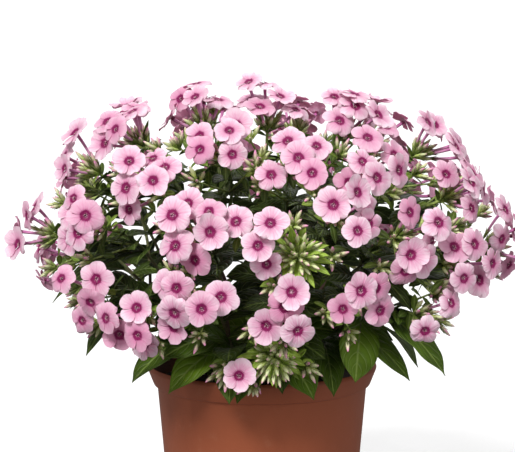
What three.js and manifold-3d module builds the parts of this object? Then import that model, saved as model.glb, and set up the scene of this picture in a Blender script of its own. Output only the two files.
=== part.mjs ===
// A garden phlox in full flower, in its round plastic pot.
// Leafy stems rise from the soil and fork, and carry domed heads of flowers and pointed buds.
// Units are millimetres. +Z is up, and the origin is the middle of the pot's flat base. -Y is the front.
import * as THREE from "three";
import { mergeVertices } from "three/addons/utils/BufferGeometryUtils.js";
import Module from "manifold-3d";

const wasm = await Module();
wasm.setup();
const { Manifold, Mesh } = wasm;
const v3 = (x, y, z) => new THREE.Vector3(x, y, z);
const UP = v3(0, 0, 1);
const FRONT = v3(0, -1, 0);
const DEG = Math.PI / 180;
const GAP = 0.3; // between pieces that touch on the real plant

// ---- Driving dimensions ----
// pot
const POT_H = 140;
const RIM_R = 85; // outside, at the top of the rim
const RIM_H = 16; // depth of the flared band round the mouth
const RIM_T = 2.6;
const BODY_TOP_R = 77.5; // outside, just under the band
const BASE_R = 66.5;
const WALL = 2;
const ROUND_SIDES = 30;
const DRAIN_HOLES = 5;
const DRAIN_R = 5;
const DRAIN_RING_R = 42;
// soil
const SOIL_Z = 129;
const SOIL_DIP = 3; // its edge lies this much lower than its middle
const HOLE_R = 3;
// stems
const STEM_R = 1.8;
const BRANCH_R = 1.5;
const STEM_DEPTH = 12; // how far a stem's foot goes into the soil
const FOOT_SPREAD = 64; // from the middle of the pot to where the lowest stem would stand
const FORK_SHARE = 0.5; // where a stem forks, from its foot to the middle of its heads
const FORK_LIFT = 8;
// flowers
const FLOWER_R = 12.4; // to the end of a petal
const NOTCH = 0.68; // share of that radius which is left between two petals
const CURL = 0.7; // how far a petal's end bends back
const THROAT = 1.2; // how deep the middle of the flower is sunk
const PETAL_T = 1.4; // at the throat, and thinner towards the edge
const TUBE_TOP_R = 1.5;
const TUBE_FOOT_R = 0.8;
// heads
const HEAD_R = 42; // from the middle line of a head to its outermost flowers
const HEAD_RISE = 27; // from the middle of a head to its top flower
const RACHIS = 17; // the head's own stalk, from the end of the branch to the middle of the head
const CORE_R = 4.4; // the swelling that its flowers and buds grow from
const CORE_TIP = 4; // the core's tip and its widest part, above the middle of the head
const CORE_BELLY = -4;
const BUD_REACH = 21; // from the middle of a head to the tips of its buds
const BUD_R = 1.9;
// leaves
const LEAF_T = 1.2; // along the midrib, and thinner towards the edges
const LEAF_FOLD = 0.16; // how far the edges rise over the midrib, as a share of the half width
const LEAF_ROLL = 1.1; // how far a leaf's face rolls outwards from the plant
const LARGE_LEAF = 20; // leaves wider than this get a third station

// Each stem lists its heads: the middle of the head (x, y, z), its open flowers and its buds.
const STEMS = [
  [[-152, -12, 236, 4, 2], [-122, 2, 281, 4, 2], [-139, 46, 208, 5, 0]],
  [[-112, -88, 252, 5, 2], [-112, -90, 206, 4, 4], [-80, -118, 198, 5, 1], [-72, -100, 278, 6, 1]],
  [[-88, -28, 305, 5, 2], [-42, -14, 315, 5, 2], [-90, 42, 298, 5, 0], [-26, -84, 299, 5, 2]],
  [[-42, -138, 252, 6, 0], [-44, -142, 210, 6, 1], [-24, -108, 157, 1, 4]],
  [[4, 2, 314, 6, 3], [58, -16, 309, 6, 3], [26, 94, 299, 6, 0]],
  [[20, -100, 293, 5, 2], [70, -86, 289, 7, 2], [50, -130, 262, 5, 1]],
  [[-2, -146, 252, 4, 0], [24, -148, 240, 0, 14], [14, -146, 206, 4, 1], [8, -122, 166, 0, 14]],
  [[92, -112, 248, 6, 1], [64, -132, 210, 4, 1], [108, -98, 192, 2, 4]],
  [[112, -14, 296, 6, 1], [130, -56, 268, 6, 2], [140, 34, 258, 5, 0]],
  [[128, -88, 226, 5, 2], [164, -16, 228, 6, 1], [131, 64, 208, 5, 0]],
  [[106, 96, 256, 5, 1], [85, 118, 206, 5, 0], [80, 54, 298, 6, 1]],
  [[56, 133, 254, 5, 1], [22, 145, 208, 5, 0], [-12, 140, 258, 5, 1]],
  [[-76, 121, 254, 5, 1], [-48, 140, 206, 5, 0], [-40, 88, 299, 6, 1]],
  [[-124, 74, 258, 5, 1], [-106, 104, 208, 5, 0]],
];

// The large leaves that hang out over the rim: stem, run (0 is its trunk, then its branches in order),
// share of the run, the leaf's tip (x, y, z), how far it arches over the straight line, and its width.
const SKIRT = [
  [7, 3, 0.6, [128, -94, 148], 6, 22],
  [7, 0, 0.95, [104, -82, 142], 8, 19],
  [7, 3, 0.3, [56, -104, 146], 3, 21],
  [7, 0, 0.7, [50, -98, 134], 8, 17],
  [7, 1, 0.5, [104, -98, 194], 6, 14],
  [1, 0, 0.7, [-92, -78, 140], 6, 22],
  [3, 0, 0.75, [-66, -88, 134], 8, 20],
  [3, 0, 0.95, [-70, -92, 160], 5, 19],
  [1, 2, 0.5, [-124, -82, 160], 8, 20],
  [1, 2, 0.35, [-116, -46, 184], 8, 18],
  [3, 0, 0.85, [-42, -108, 132], 5, 17],
  [6, 0, 0.75, [36, -108, 134], 6, 21],
  [6, 0, 0.95, [44, -106, 162], 3, 18],
  [6, 0, 0.7, [-8, -108, 130], 8, 18],
  [6, 0, 0.85, [14, -112, 130], 5, 17],
  [9, 0, 0.8, [112, -54, 146], 8, 20],
  [9, 1, 0.6, [160, -66, 206], 6, 16],
  [1, 1, 0.6, [-148, -72, 196], 10, 14],
  [0, 1, 0.5, [-134, -44, 206], 8, 15],
  [0, 0, 0.85, [-112, -30, 158], 8, 20],
];

// The other leaves of every stem: on its trunk (0) or on its first branches (1), share of that run,
// turns from the way outwards, rise to the tip, length, arch and width.
const LEAFY_BRANCHES = 3;
const LEAF_SITES = [
  [0, 0.35, [50, -50], 6, 50, 6, 20],
  [0, 0.8, [40, -60], -4, 46, 5, 20],
  [1, 0.55, [10], -2, 38, 4, 17],
];

// ---- Solids ----

// A closed geometry as a solid that can be joined and cut.
function solidOf(geometry) {
  const bare = geometry.clone();
  bare.deleteAttribute("normal");
  bare.deleteAttribute("uv");
  const merged = mergeVertices(bare, 1e-4);
  return new Manifold(
    new Mesh({
      numProp: 3,
      vertProperties: merged.attributes.position.array,
      triVerts: new Uint32Array(merged.index.array),
    }),
  );
}

function geometryOf(solid) {
  const mesh = solid.getMesh();
  const geometry = new THREE.BufferGeometry();
  geometry.setAttribute("position", new THREE.BufferAttribute(mesh.vertProperties, 3));
  geometry.setIndex(new THREE.BufferAttribute(mesh.triVerts, 1));
  geometry.computeVertexNormals();
  return geometry;
}

// A closed skin over a row of rings, front ring first, each counter-clockwise as seen from the front.
// A ring of one point is a pole. A ring with fewer points than its neighbour gathers the neighbour's.
function skin(rings) {
  const index = [];
  const cap = (start, count, back) => {
    for (let i = 1; i + 1 < count; i++)
      index.push(start, start + (back ? i + 1 : i), start + (back ? i : i + 1));
  };
  let start = 0;
  cap(0, rings[0].length, false);
  for (let r = 0; r + 1 < rings.length; r++) {
    const [a, b] = [rings[r].length, rings[r + 1].length];
    const steps = Math.max(a, b);
    const pick = (i, count) => Math.floor((i * count) / steps) % count;
    for (let i = 0; i < steps; i++) {
      const [a0, a1] = [start + pick(i, a), start + pick(i + 1, a)];
      const [b0, b1] = [start + a + pick(i, b), start + a + pick(i + 1, b)];
      if (a0 !== a1) index.push(a0, b0, a1);
      if (b0 !== b1) index.push(a1, b0, b1);
    }
    start += a;
  }
  cap(start, rings.at(-1).length, true);
  return solidOf(new THREE.BufferGeometry().setFromPoints(rings.flat()).setIndex(index));
}

// Two directions that make a right-handed frame with a third.
function frameOf(axis) {
  const across = UP.clone().cross(axis);
  if (across.length() < 0.01) across.set(1, 0, 0);
  across.normalize();
  return [across, axis.clone().cross(across)];
}

// A point beside another, at a distance and a turn in the plane of two directions.
function beside(centre, u, v, radius, turn) {
  return centre.clone()
    .addScaledVector(u, radius * Math.cos(turn))
    .addScaledVector(v, radius * Math.sin(turn));
}

const triangleRound = (centre, u, v, radius, roll = 0) =>
  [60, 180, 300].map((turn) => beside(centre, u, v, radius, roll + turn * DEG));

// A stem, a branch or a leaf's midrib is a bend: one quadratic curve.
const bendOf = (a, b, c) => new THREE.QuadraticBezierCurve3(a, b, c);
const slopeOf = (bend, t) =>
  bend.v1.clone().sub(bend.v0).lerp(bend.v2.clone().sub(bend.v1), t).normalize();

// A three-sided rod along a bend, in straight steps, and a place on its middle line.
const ROD_STEPS = 2;
function rod(bend, radius) {
  let [across] = frameOf(slopeOf(bend, 0));
  const rings = [];
  for (let i = 0; i <= ROD_STEPS; i++) {
    const way = slopeOf(bend, i / ROD_STEPS);
    across = across.clone().addScaledVector(way, -across.dot(way)).normalize();
    rings.unshift(triangleRound(bend.getPoint(i / ROD_STEPS), across, way.clone().cross(across), radius));
  }
  return skin(rings);
}

function onRod(bend, share) {
  const step = Math.min(Math.floor(share * ROD_STEPS), ROD_STEPS - 1);
  const [a, b] = [bend.getPoint(step / ROD_STEPS), bend.getPoint((step + 1) / ROD_STEPS)];
  return a.lerp(b, share * ROD_STEPS - step);
}

// ---- Pot ----

const turned = (profile) =>
  solidOf(
    new THREE.LatheGeometry(profile.map(([r, z]) => new THREE.Vector2(r, z)), ROUND_SIDES)
      .rotateX(Math.PI / 2),
  );

// The outside climbs from the base to the band and flares, and the inside follows it down again.
function makePot() {
  const bandZ = POT_H - RIM_H;
  let pot = turned([
    [0, 0],
    [BASE_R, 0],
    [BODY_TOP_R, bandZ],
    [BODY_TOP_R + RIM_T, bandZ + 0.5],
    [RIM_R, POT_H - 3],
    [RIM_R - RIM_T / 2, POT_H],
    [RIM_R - RIM_T, POT_H - 1.2],
    [BODY_TOP_R - WALL, bandZ - WALL],
    [BASE_R - WALL, WALL],
    [0, WALL],
  ]);
  for (let i = 0; i < DRAIN_HOLES; i++) {
    const [x, y] = beside(v3(0, 0, 0), v3(1, 0, 0), v3(0, 1, 0), DRAIN_RING_R, (i * 360 * DEG) / DRAIN_HOLES);
    const drill = new THREE.CylinderGeometry(DRAIN_R, DRAIN_R, 4 * WALL, 6).rotateX(Math.PI / 2);
    pot = pot.subtract(solidOf(drill.translate(x, y, 0)));
  }
  return pot;
}

// ---- Layout: where each stem, flower, bud and leaf grows ----

// Repeatable draws from 0 to 1.
let seed = 7;
function draw() {
  seed = (Math.imul(seed, 1664525) + 1013904223) >>> 0;
  return seed / 4294967296;
}

// What has grown so far: flowers as flat discs, everything else as strings of beads.
const discs = [];
const beads = [];
const DISC_SAMPLES = 20;
const DISC_GAP = 2;
const BEAD_GAP = 0.9;
const TUBE_BEAD_R = 1.1;
const BUD_BEAD_R = 1.3;
const LEAF_BEAD_R = 1.9;

function gapToDisc(point, disc) {
  const from = point.clone().sub(disc.centre);
  const height = from.dot(disc.normal);
  const radial = Math.sqrt(Math.max(0, from.lengthSq() - height * height));
  return Math.hypot(height, Math.max(0, radial - FLOWER_R));
}

function discOf(centre, normal) {
  const [u, v] = frameOf(normal);
  const edge = Array.from({ length: DISC_SAMPLES }, (_, i) =>
    beside(centre, u, v, FLOWER_R, (i * 360 * DEG) / DISC_SAMPLES));
  return { centre, normal, edge };
}

// The pot's rim, and the soil inside it.
function isInPot(point, radius) {
  const r = Math.hypot(point.x, point.y);
  const overSoil = r + radius < BODY_TOP_R + RIM_T && point.z - radius > SOIL_Z + 1;
  return !overSoil && r - radius < RIM_R + 1 && point.z - radius < POT_H + 1;
}

function isStringClear(string) {
  for (const bead of string) {
    if (isInPot(bead.at, bead.radius)) return false;
    for (const other of beads)
      if (bead.at.distanceTo(other.at) < bead.radius + other.radius) return false;
    for (const disc of discs)
      if (gapToDisc(bead.at, disc) < bead.radius + BEAD_GAP) return false;
  }
  return true;
}

function isDiscClear(disc) {
  for (const point of disc.edge) if (isInPot(point, 1)) return false;
  for (const bead of beads)
    if (gapToDisc(bead.at, disc) < bead.radius + BEAD_GAP) return false;
  for (const other of discs) {
    if (other.centre.distanceTo(disc.centre) > 2 * FLOWER_R + DISC_GAP) continue;
    if (disc.edge.some((point) => gapToDisc(point, other) < DISC_GAP)) return false;
    if (other.edge.some((point) => gapToDisc(point, disc) < DISC_GAP)) return false;
  }
  return true;
}

// Beads along a straight run, from one share of its length to another.
function beadsAlong(a, b, from, to, spacing, radius) {
  const count = Math.max(1, Math.round((a.distanceTo(b) * (to - from)) / spacing));
  return Array.from({ length: count + 1 }, (_, i) => ({
    at: a.clone().lerp(b, from + ((to - from) * i) / count),
    radius,
  }));
}

// A stem: its trunk from the soil to the fork, and a branch to each of its heads.
// Stems that carry low heads stand further out. Heads turn a little to the front, as if to the light.
const HEAD_LEAN = 28;
const HEADS_FACE_FROM_Z = 205;
function layStem(rows) {
  const heads = rows.map(([x, y, z, flowers, buds]) => {
    const hub = v3(x, y, z);
    const axis = v3(x, y - HEAD_LEAN, z - HEADS_FACE_FROM_Z).normalize();
    return { hub, axis, flowers, buds, neck: hub.clone().addScaledVector(axis, -RACHIS) };
  });
  const middle = v3(0, 0, 0);
  for (const head of heads) middle.addScaledVector(head.hub, 1 / heads.length);
  const out = Math.hypot(middle.x, middle.y);
  const footR = (FOOT_SPREAD * Math.atan2(out, middle.z - SOIL_Z)) / (90 * DEG);
  const foot = v3((middle.x / out) * footR, (middle.y / out) * footR, SOIL_Z);
  const fork = foot.clone().lerp(middle, FORK_SHARE).addScaledVector(UP, FORK_LIFT);
  const rise = foot.clone().addScaledVector(UP, 0.55 * (fork.z - SOIL_Z));
  const trunk = bendOf(foot, rise, fork);
  const start = onRod(trunk, 0.95);
  const branches = heads.map(({ neck, axis }) =>
    bendOf(start, neck.clone().addScaledVector(axis, -0.4 * neck.distanceTo(fork)), neck));
  return { heads, foot, trunk, branches, leaves: [] };
}

function layRod(bend, from, radius) {
  const spots = 24;
  for (let i = 0; i <= spots; i++)
    beads.push({ at: onRod(bend, from + ((1 - from) * i) / spots), radius });
}

// The flowers of one head stand on a spiral over its dome, from near the top outwards.
const GOLDEN = Math.PI * (3 - Math.sqrt(5));
const FLOWER_TRIES = 44;
const FLOWER_LIFTS = [0, 5, -5, 9, -9]; // a flower stands this far over or under the dome
const FACE = 1.1; // how strongly flowers turn to the head's own axis
const TO_LIGHT = 0.45; // how strongly they turn to the front as well, most of all at the front
function layFlowers(head) {
  const [u, v] = frameOf(head.axis);
  const spin = draw() * 360 * DEG;
  const first = Math.floor(draw() * 6);
  const light = (TO_LIGHT * (1 - head.hub.y / 150)) / 2;
  head.placed = [];
  for (let k = first; k < FLOWER_TRIES && head.placed.length < head.flowers; k++) {
    const out = Math.sqrt((k + 0.5) / FLOWER_TRIES);
    const roll = spin + k * GOLDEN;
    const root = head.hub.clone().addScaledVector(head.axis, -0.6 * RACHIS * out);
    for (const lift of FLOWER_LIFTS) {
      const centre = beside(head.hub, u, v, HEAD_R * out, roll);
      centre.addScaledVector(head.axis, HEAD_RISE * (1 - out * out) + lift);
      const normal = centre.clone().sub(root).normalize()
        .addScaledVector(head.axis, FACE).addScaledVector(FRONT, light).normalize();
      const disc = discOf(centre, normal);
      const tube = beadsAlong(root, centre, 0.45, 0.86, 4, TUBE_BEAD_R);
      if (!isStringClear(tube) || !isDiscClear(disc)) continue;
      beads.push(...tube);
      discs.push(disc);
      head.placed.push({ centre, normal, root, roll });
      break;
    }
  }
}

// The buds of one head stand on a spiral too, between its flowers.
const BUD_SPREAD = 100 * DEG;
function layBuds(head) {
  const [u, v] = frameOf(head.axis);
  const spin = draw() * 360 * DEG;
  const tries = 3 * head.buds + 12;
  head.budsPlaced = [];
  for (let k = 0; k < tries && head.budsPlaced.length < head.buds; k++) {
    const out = Math.sqrt((k + 0.5) / tries);
    const tilt = BUD_SPREAD * out;
    const tip = beside(head.hub, u, v, BUD_REACH * Math.sin(tilt), spin + k * GOLDEN);
    tip.addScaledVector(head.axis, BUD_REACH * Math.cos(tilt));
    const root = head.hub.clone().addScaledVector(head.axis, -0.5 * RACHIS * out);
    const string = beadsAlong(root, tip, 0.6, 0.97, 3, BUD_BEAD_R);
    if (!isStringClear(string)) continue;
    beads.push(...string);
    head.budsPlaced.push({ root, tip });
  }
}

// A leaf runs from its root to its tip, arching over the straight line between them.
// Its face rolls outwards from the middle of the plant.
function leafBetween(root, tip, arch, width) {
  const middle = root.clone().lerp(tip, 0.5);
  const outward = v3(middle.x, middle.y, 0).normalize();
  const side = UP.clone().cross(tip.clone().sub(root)).normalize();
  side.addScaledVector(UP, -LEAF_ROLL * side.dot(outward));
  return { bend: bendOf(root, middle.addScaledVector(UP, 2 * arch), tip), side, width };
}

const leafHalfWidth = (leaf, t) =>
  (leaf.width / 2) * Math.pow(Math.sin(Math.PI * Math.pow(t, 0.8)), 0.85);

// A place on a leaf: a share along its midrib, and a share of its half width to either side.
function onLeaf(leaf, t, share) {
  const along = slopeOf(leaf.bend, t);
  const across = leaf.side.clone().addScaledVector(along, -leaf.side.dot(along)).normalize();
  const half = share * leafHalfWidth(leaf, t);
  return leaf.bend.getPoint(t).addScaledVector(across, half)
    .addScaledVector(along.cross(across), LEAF_FOLD * Math.abs(half));
}

const LEAF_ROWS = 10;
const LEAF_LANES = [-1, -0.5, 0, 0.5, 1];
function growLeaf(stem, leaf) {
  const string = [];
  for (let i = 2; i <= LEAF_ROWS; i++)
    for (const lane of LEAF_LANES)
      string.push({ at: onLeaf(leaf, i / LEAF_ROWS, lane), radius: LEAF_BEAD_R });
  if (!isStringClear(string)) return false;
  beads.push(...string);
  stem.leaves.push(leaf);
  return true;
}

// A leaf tries its own place, then places turned a little to either side, and higher.
const LEAF_TURNS = [0, 15, -15, 30, -30, 45, -45, 60, -60];
const LEAF_RAISES = [0, 9];
function layLeaf(stem, run, share, tip, arch, width) {
  const root = onRod(run, share);
  for (const raise of LEAF_RAISES)
    for (const turn of LEAF_TURNS) {
      const way = tip.clone().sub(root).applyAxisAngle(UP, turn * DEG).addScaledVector(UP, raise);
      if (growLeaf(stem, leafBetween(root, root.clone().add(way), arch, width))) return;
    }
}

const stems = STEMS.map(layStem);
const heads = stems.flatMap((stem) => stem.heads);
for (const stem of stems) {
  layRod(stem.trunk, 0, STEM_R);
  for (const branch of stem.branches) layRod(branch, 0.05, BRANCH_R);
}
for (const [number, run, share, tip, arch, width] of SKIRT) {
  const stem = stems[number];
  layLeaf(stem, run ? stem.branches[run - 1] : stem.trunk, share, v3(...tip), arch, width);
}
for (const head of heads) layFlowers(head);
for (const head of heads) layBuds(head);
for (const [level, share, turns, rise, length, arch, width] of LEAF_SITES)
  for (const stem of stems)
    for (const run of level ? stem.branches.slice(0, LEAFY_BRANCHES) : [stem.trunk])
      for (const turn of turns) {
        const spread = (turn + 50 * (draw() - 0.5)) * DEG;
        const way = v3(stem.trunk.v2.x, stem.trunk.v2.y, 0).setLength(length).applyAxisAngle(UP, spread);
        const tip = onRod(run, share).add(way).addScaledVector(UP, rise);
        layLeaf(stem, run, share, tip, arch, width);
      }

// ---- Soil, with a plain hole for each stem ----

function makeSoil() {
  const floorR = BASE_R - WALL - GAP;
  const edgeR = BODY_TOP_R - WALL;
  let soil = turned([
    [0, WALL + GAP],
    [floorR - GAP, WALL + GAP],
    [edgeR, SOIL_Z - SOIL_DIP],
    [0.6 * edgeR, SOIL_Z - 0.2 * SOIL_DIP],
    [0, SOIL_Z],
  ]);
  for (const { foot } of stems) {
    const hole = new THREE.CylinderGeometry(HOLE_R, HOLE_R, 2 * STEM_DEPTH, 4).rotateX(Math.PI / 2);
    soil = soil.subtract(solidOf(hole.translate(...foot)));
  }
  return soil;
}

// ---- Stems and leaves ----

// Four-cornered rings along the midrib: both edges, the upper face and the lower.
function makeLeaf(leaf) {
  const ring = (t) => {
    const upward = slopeOf(leaf.bend, t).cross(leaf.side).normalize();
    const rib = onLeaf(leaf, t, 0);
    return [onLeaf(leaf, t, 1), rib, onLeaf(leaf, t, -1), rib.clone().addScaledVector(upward, -LEAF_T)];
  };
  const stations = leaf.width > LARGE_LEAF ? [0.78, 0.5, 0.2] : [0.66, 0.25];
  return skin([[leaf.bend.v2], ...stations.map(ring), [leaf.bend.v0]]);
}

function makeStem({ foot, trunk, branches, leaves }) {
  const depth = STEM_DEPTH - GAP;
  const footRod = new THREE.CylinderGeometry(STEM_R, STEM_R, depth + 1, 3).rotateX(Math.PI / 2);
  footRod.translate(foot.x, foot.y, SOIL_Z - depth + (depth + 1) / 2);
  return Manifold.union([
    solidOf(footRod),
    rod(trunk, STEM_R),
    ...branches.map((branch) => rod(branch, BRANCH_R)),
    ...leaves.map(makeLeaf),
  ]);
}

// ---- Heads ----

// Five pointed petals in one thin plate, sunk at the throat, on a tube that narrows to its foot.
function makeFlower({ centre, normal, root, roll }) {
  const [u, v] = frameOf(normal);
  const outline = Array.from({ length: 10 }, (_, i) => {
    const isTip = i % 2;
    const point = beside(centre, u, v, FLOWER_R * (isTip ? 1 : NOTCH), roll + i * 36 * DEG);
    return point.addScaledVector(normal, isTip ? -CURL : 0);
  });
  const throat = centre.clone().addScaledVector(normal, -THROAT);
  const neck = centre.clone().addScaledVector(normal, -THROAT - PETAL_T);
  const tubeTop = triangleRound(neck, u, v, TUBE_TOP_R, roll);
  return skin([[throat], outline, tubeTop, triangleRound(root, u, v, TUBE_FOOT_R, roll)]);
}

function makeBud({ root, tip }) {
  const [u, v] = frameOf(tip.clone().sub(root).normalize());
  return skin([[tip], triangleRound(root.clone().lerp(tip, 0.68), u, v, BUD_R), [root]]);
}

// The head's own stalk swells to a small core, which its flowers and buds grow from.
function makeHead({ hub, axis, placed, budsPlaced }) {
  const [u, v] = frameOf(axis);
  const at = (height) => hub.clone().addScaledVector(axis, height);
  const belly = triangleRound(at(CORE_BELLY), u, v, CORE_R);
  const core = skin([[at(CORE_TIP)], belly, triangleRound(at(GAP - RACHIS), u, v, BRANCH_R)]);
  return Manifold.union([core, ...placed.map(makeFlower), ...budsPlaced.map(makeBud)]);
}

// ---- The plant ----

const plant = new THREE.Group();
const finish = (color, roughness) => new THREE.MeshStandardMaterial({ color, roughness, metalness: 0 });

function addPiece(name, solid, material) {
  const mesh = new THREE.Mesh(geometryOf(solid), material);
  mesh.name = name;
  plant.add(mesh);
}

const numbered = (name, i) => name + "_" + String(i + 1).padStart(2, "0");
addPiece("pot", makePot(), finish(0x8f5440, 0.5));
addPiece("soil", makeSoil(), finish(0x2a2119, 0.95));
stems.forEach((stem, i) => addPiece(numbered("stem", i), makeStem(stem), finish(0x2f5a1c, 0.45)));
heads.forEach((head, i) => {
  const [name, color] = head.flowers ? ["flower_head", 0xf0b3d2] : ["bud_head", 0xa9c168];
  addPiece(numbered(name, i), makeHead(head), finish(color, 0.6));
});

export default plant;
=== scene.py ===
# A garden phlox in full flower, in its round plastic pot.
# It is put together from the pot upwards: soil, leafy stems, flowers, then buds.
# Lengths are in millimetres until a piece is made, but the camera's are in metres.
# Turns in the tables of leaves are in degrees.
import math
import random
from types import SimpleNamespace

import bmesh
import bpy
import numpy as np
from mathutils import Matrix, Vector, noise


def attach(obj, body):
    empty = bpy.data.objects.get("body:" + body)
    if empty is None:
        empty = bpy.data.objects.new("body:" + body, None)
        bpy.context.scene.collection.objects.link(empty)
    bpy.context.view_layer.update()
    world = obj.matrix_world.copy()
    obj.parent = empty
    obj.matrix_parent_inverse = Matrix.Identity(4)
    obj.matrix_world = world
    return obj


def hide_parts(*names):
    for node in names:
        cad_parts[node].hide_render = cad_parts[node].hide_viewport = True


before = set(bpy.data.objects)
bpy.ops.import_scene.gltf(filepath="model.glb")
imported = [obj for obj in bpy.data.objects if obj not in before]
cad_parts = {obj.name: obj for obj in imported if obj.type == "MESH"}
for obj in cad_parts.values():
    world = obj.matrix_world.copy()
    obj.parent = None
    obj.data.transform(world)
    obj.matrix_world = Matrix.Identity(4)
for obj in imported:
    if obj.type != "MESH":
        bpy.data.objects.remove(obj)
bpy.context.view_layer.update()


# ---- Camera, floor and light ----
# A plain pale studio: a wide matt floor, a white surround and soft lights, the strongest in front.
# The camera looks at the plant from a little above its flowers.
CAMERA_TARGET = Vector((-0.0033, 0.0, 0.241))
CAMERA_AWAY = 1.6
CAMERA_RISE = math.radians(7.7)
CAMERA_LENS = 152.2
SENSOR = 36.0
MM = 0.001
WHITE = (1.0, 1.0, 1.0)
FLOOR_R = 40000
FLOOR_SIDES = 96
# The floor and the surround look brighter to the camera than the light they send back to the plant.
FLOOR_GREYS = ((0.48, 0.48, 0.48), (0.52, 0.52, 0.52))
FLOOR_GLOW = 0.5
FLOOR_BOUNCE = (0.2, 0.2, 0.2)
SURROUND_SEEN = 1.0
SURROUND_LIGHT = 0.2

# Each soft light: its name, where it comes from, how wide it looks in degrees, and its strength.
SOFT_LIGHTS = [
    ("key_light", (-0.45, -1.0, 1.0), 16, 3.3),
    ("low_light", (-0.8, -1.0, 0.2), 50, 0.7),
    ("fill_light", (0.9, -0.9, 0.6), 50, 1.0),
    ("back_light", (0.3, 1.0, 1.2), 40, 1.6),
]

camera = bpy.data.objects.new("camera", bpy.data.cameras.new("camera"))
camera.data.lens = CAMERA_LENS
camera.data.sensor_width = SENSOR
camera.data.sensor_fit = "HORIZONTAL"
to_camera = Vector((0, -math.cos(CAMERA_RISE), math.sin(CAMERA_RISE)))
camera.location = CAMERA_TARGET + CAMERA_AWAY * to_camera
camera.rotation_euler = (-to_camera).to_track_quat("-Z", "Y").to_euler()
bpy.context.scene.collection.objects.link(camera)
bpy.context.scene.camera = camera
bpy.context.scene.view_settings.view_transform = "Standard"


class Wire:
    """One output in a material's nodes. Sums on it are written as Python and add Math nodes."""

    def __init__(self, tree, socket=None):
        self.tree = tree
        self.socket = socket

    def node(self, kind, settings, sockets, out=0):
        """A node of this kind: its settings, then the values or links of its sockets."""
        made = self.tree.nodes.new("ShaderNode" + kind)
        for name, value in settings.items():
            setattr(made, name, value)
        for name, value in sockets.items():
            socket = made.inputs[name]
            if isinstance(value, Wire):
                self.tree.links.new(value.socket, socket)
            elif isinstance(value, tuple) and socket.type == "RGBA":
                socket.default_value = (*value, 1.0)
            else:
                socket.default_value = value
        return Wire(self.tree, made.outputs[out] if made.outputs else None)

    def maths(self, operation, *values):
        return self.node("Math", {"operation": operation}, dict(enumerate(values)))

    def __add__(self, other):
        return self.maths("ADD", self, other)

    def __radd__(self, other):
        return self.maths("ADD", other, self)

    def __sub__(self, other):
        return self.maths("SUBTRACT", self, other)

    def __rsub__(self, other):
        return self.maths("SUBTRACT", other, self)

    def __mul__(self, other):
        return self.maths("MULTIPLY", self, other)

    def __rmul__(self, other):
        return self.maths("MULTIPLY", other, self)

    def __pow__(self, other):
        return self.maths("POWER", self, other)

    def __abs__(self):
        return self.maths("ABSOLUTE", self)

    def rise(self, low, high):
        """0 below low and 1 above high, smooth between them."""
        return self.node("MapRange", {"interpolation_type": "SMOOTHSTEP"},
                         {"Value": self, "From Min": low, "From Max": high})

    def blend(self, a, b):
        """Colour a where this is 0 and colour b where it is 1."""
        return self.node("Mix", {"data_type": "RGBA"}, {0: self, 6: a, 7: b}, out=2)

    def place(self):
        """The place on the piece, in metres."""
        return self.node("TexCoord", {}, {}, out=3)

    def flat(self, name):
        """The place on one of the piece's flat maps."""
        return self.node("UVMap", {"uv_map": name}, {})

    def part(self, number):
        """One number of a place: 0 for x and 1 for y."""
        return self.node("SeparateXYZ", {}, {0: self}, out=number)

    def attribute(self, name):
        return self.node("Attribute", {"attribute_name": name}, {}, out=2)

    def noise(self, where, scale, detail=2.0, rough=0.5):
        sockets = {"Vector": where, "Scale": scale, "Detail": detail, "Roughness": rough}
        return self.node("TexNoise", {}, sockets)

    def bump(self, height, distance, strength):
        return self.node("Bump", {}, {"Height": height, "Distance": distance, "Strength": strength})

    def skin(self, colour, roughness, normal=None, fixed=None):
        """A surface. What is fixed is the same all over the piece."""
        sockets = {"Base Color": colour, "Roughness": roughness, **(fixed or {})}
        if normal is not None:
            sockets["Normal"] = normal
        return self.node("BsdfPrincipled", {}, sockets)

    def thin(self, skin, glow, normal, share):
        """A thin surface, which lets a share of the light through."""
        through = self.node("BsdfTranslucent", {}, {"Color": glow, "Normal": normal})
        return self.node("MixShader", {}, {0: share, 1: skin, 2: through})


def material_of(name, surface):
    """A material whose shader is what surface makes from an empty set of nodes."""
    made = bpy.data.materials.new(name)
    made.use_nodes = True
    made.node_tree.nodes.clear()
    wires = Wire(made.node_tree)
    wires.node("OutputMaterial", {}, {"Surface": surface(wires)})
    return made


def floor_surface(wires):
    cloud = wires.noise(wires.place(), 1.5)
    matt = wires.node("BsdfDiffuse", {}, {"Color": cloud.blend(*FLOOR_GREYS)})
    lit = wires.node("Emission", {}, {"Color": WHITE, "Strength": FLOOR_GLOW})
    pale = wires.node("AddShader", {}, {0: matt, 1: lit})
    bounce = wires.node("BsdfDiffuse", {}, {"Color": FLOOR_BOUNCE})
    seen = wires.node("LightPath", {}, {})
    return wires.node("MixShader", {}, {0: seen, 1: bounce, 2: pale})


def mesh_of(name, bm):
    mesh = bpy.data.meshes.new(name)
    bm.to_mesh(mesh)
    bm.free()
    return mesh


def new_object(name, bm, materials=()):
    """An object at the origin that holds the mesh, in metres, with smooth faces."""
    for face in bm.faces:
        face.smooth = True
    bmesh.ops.scale(bm, vec=(MM, MM, MM), verts=bm.verts)
    mesh = mesh_of(name, bm)
    for material in materials:
        mesh.materials.append(material)
    made = bpy.data.objects.new(name, mesh)
    bpy.context.scene.collection.objects.link(made)
    return made


floor_bm = bmesh.new()
bmesh.ops.create_circle(floor_bm, cap_ends=True, segments=FLOOR_SIDES, radius=FLOOR_R)
floor = new_object("floor", floor_bm, [material_of("floor", floor_surface)])

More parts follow.
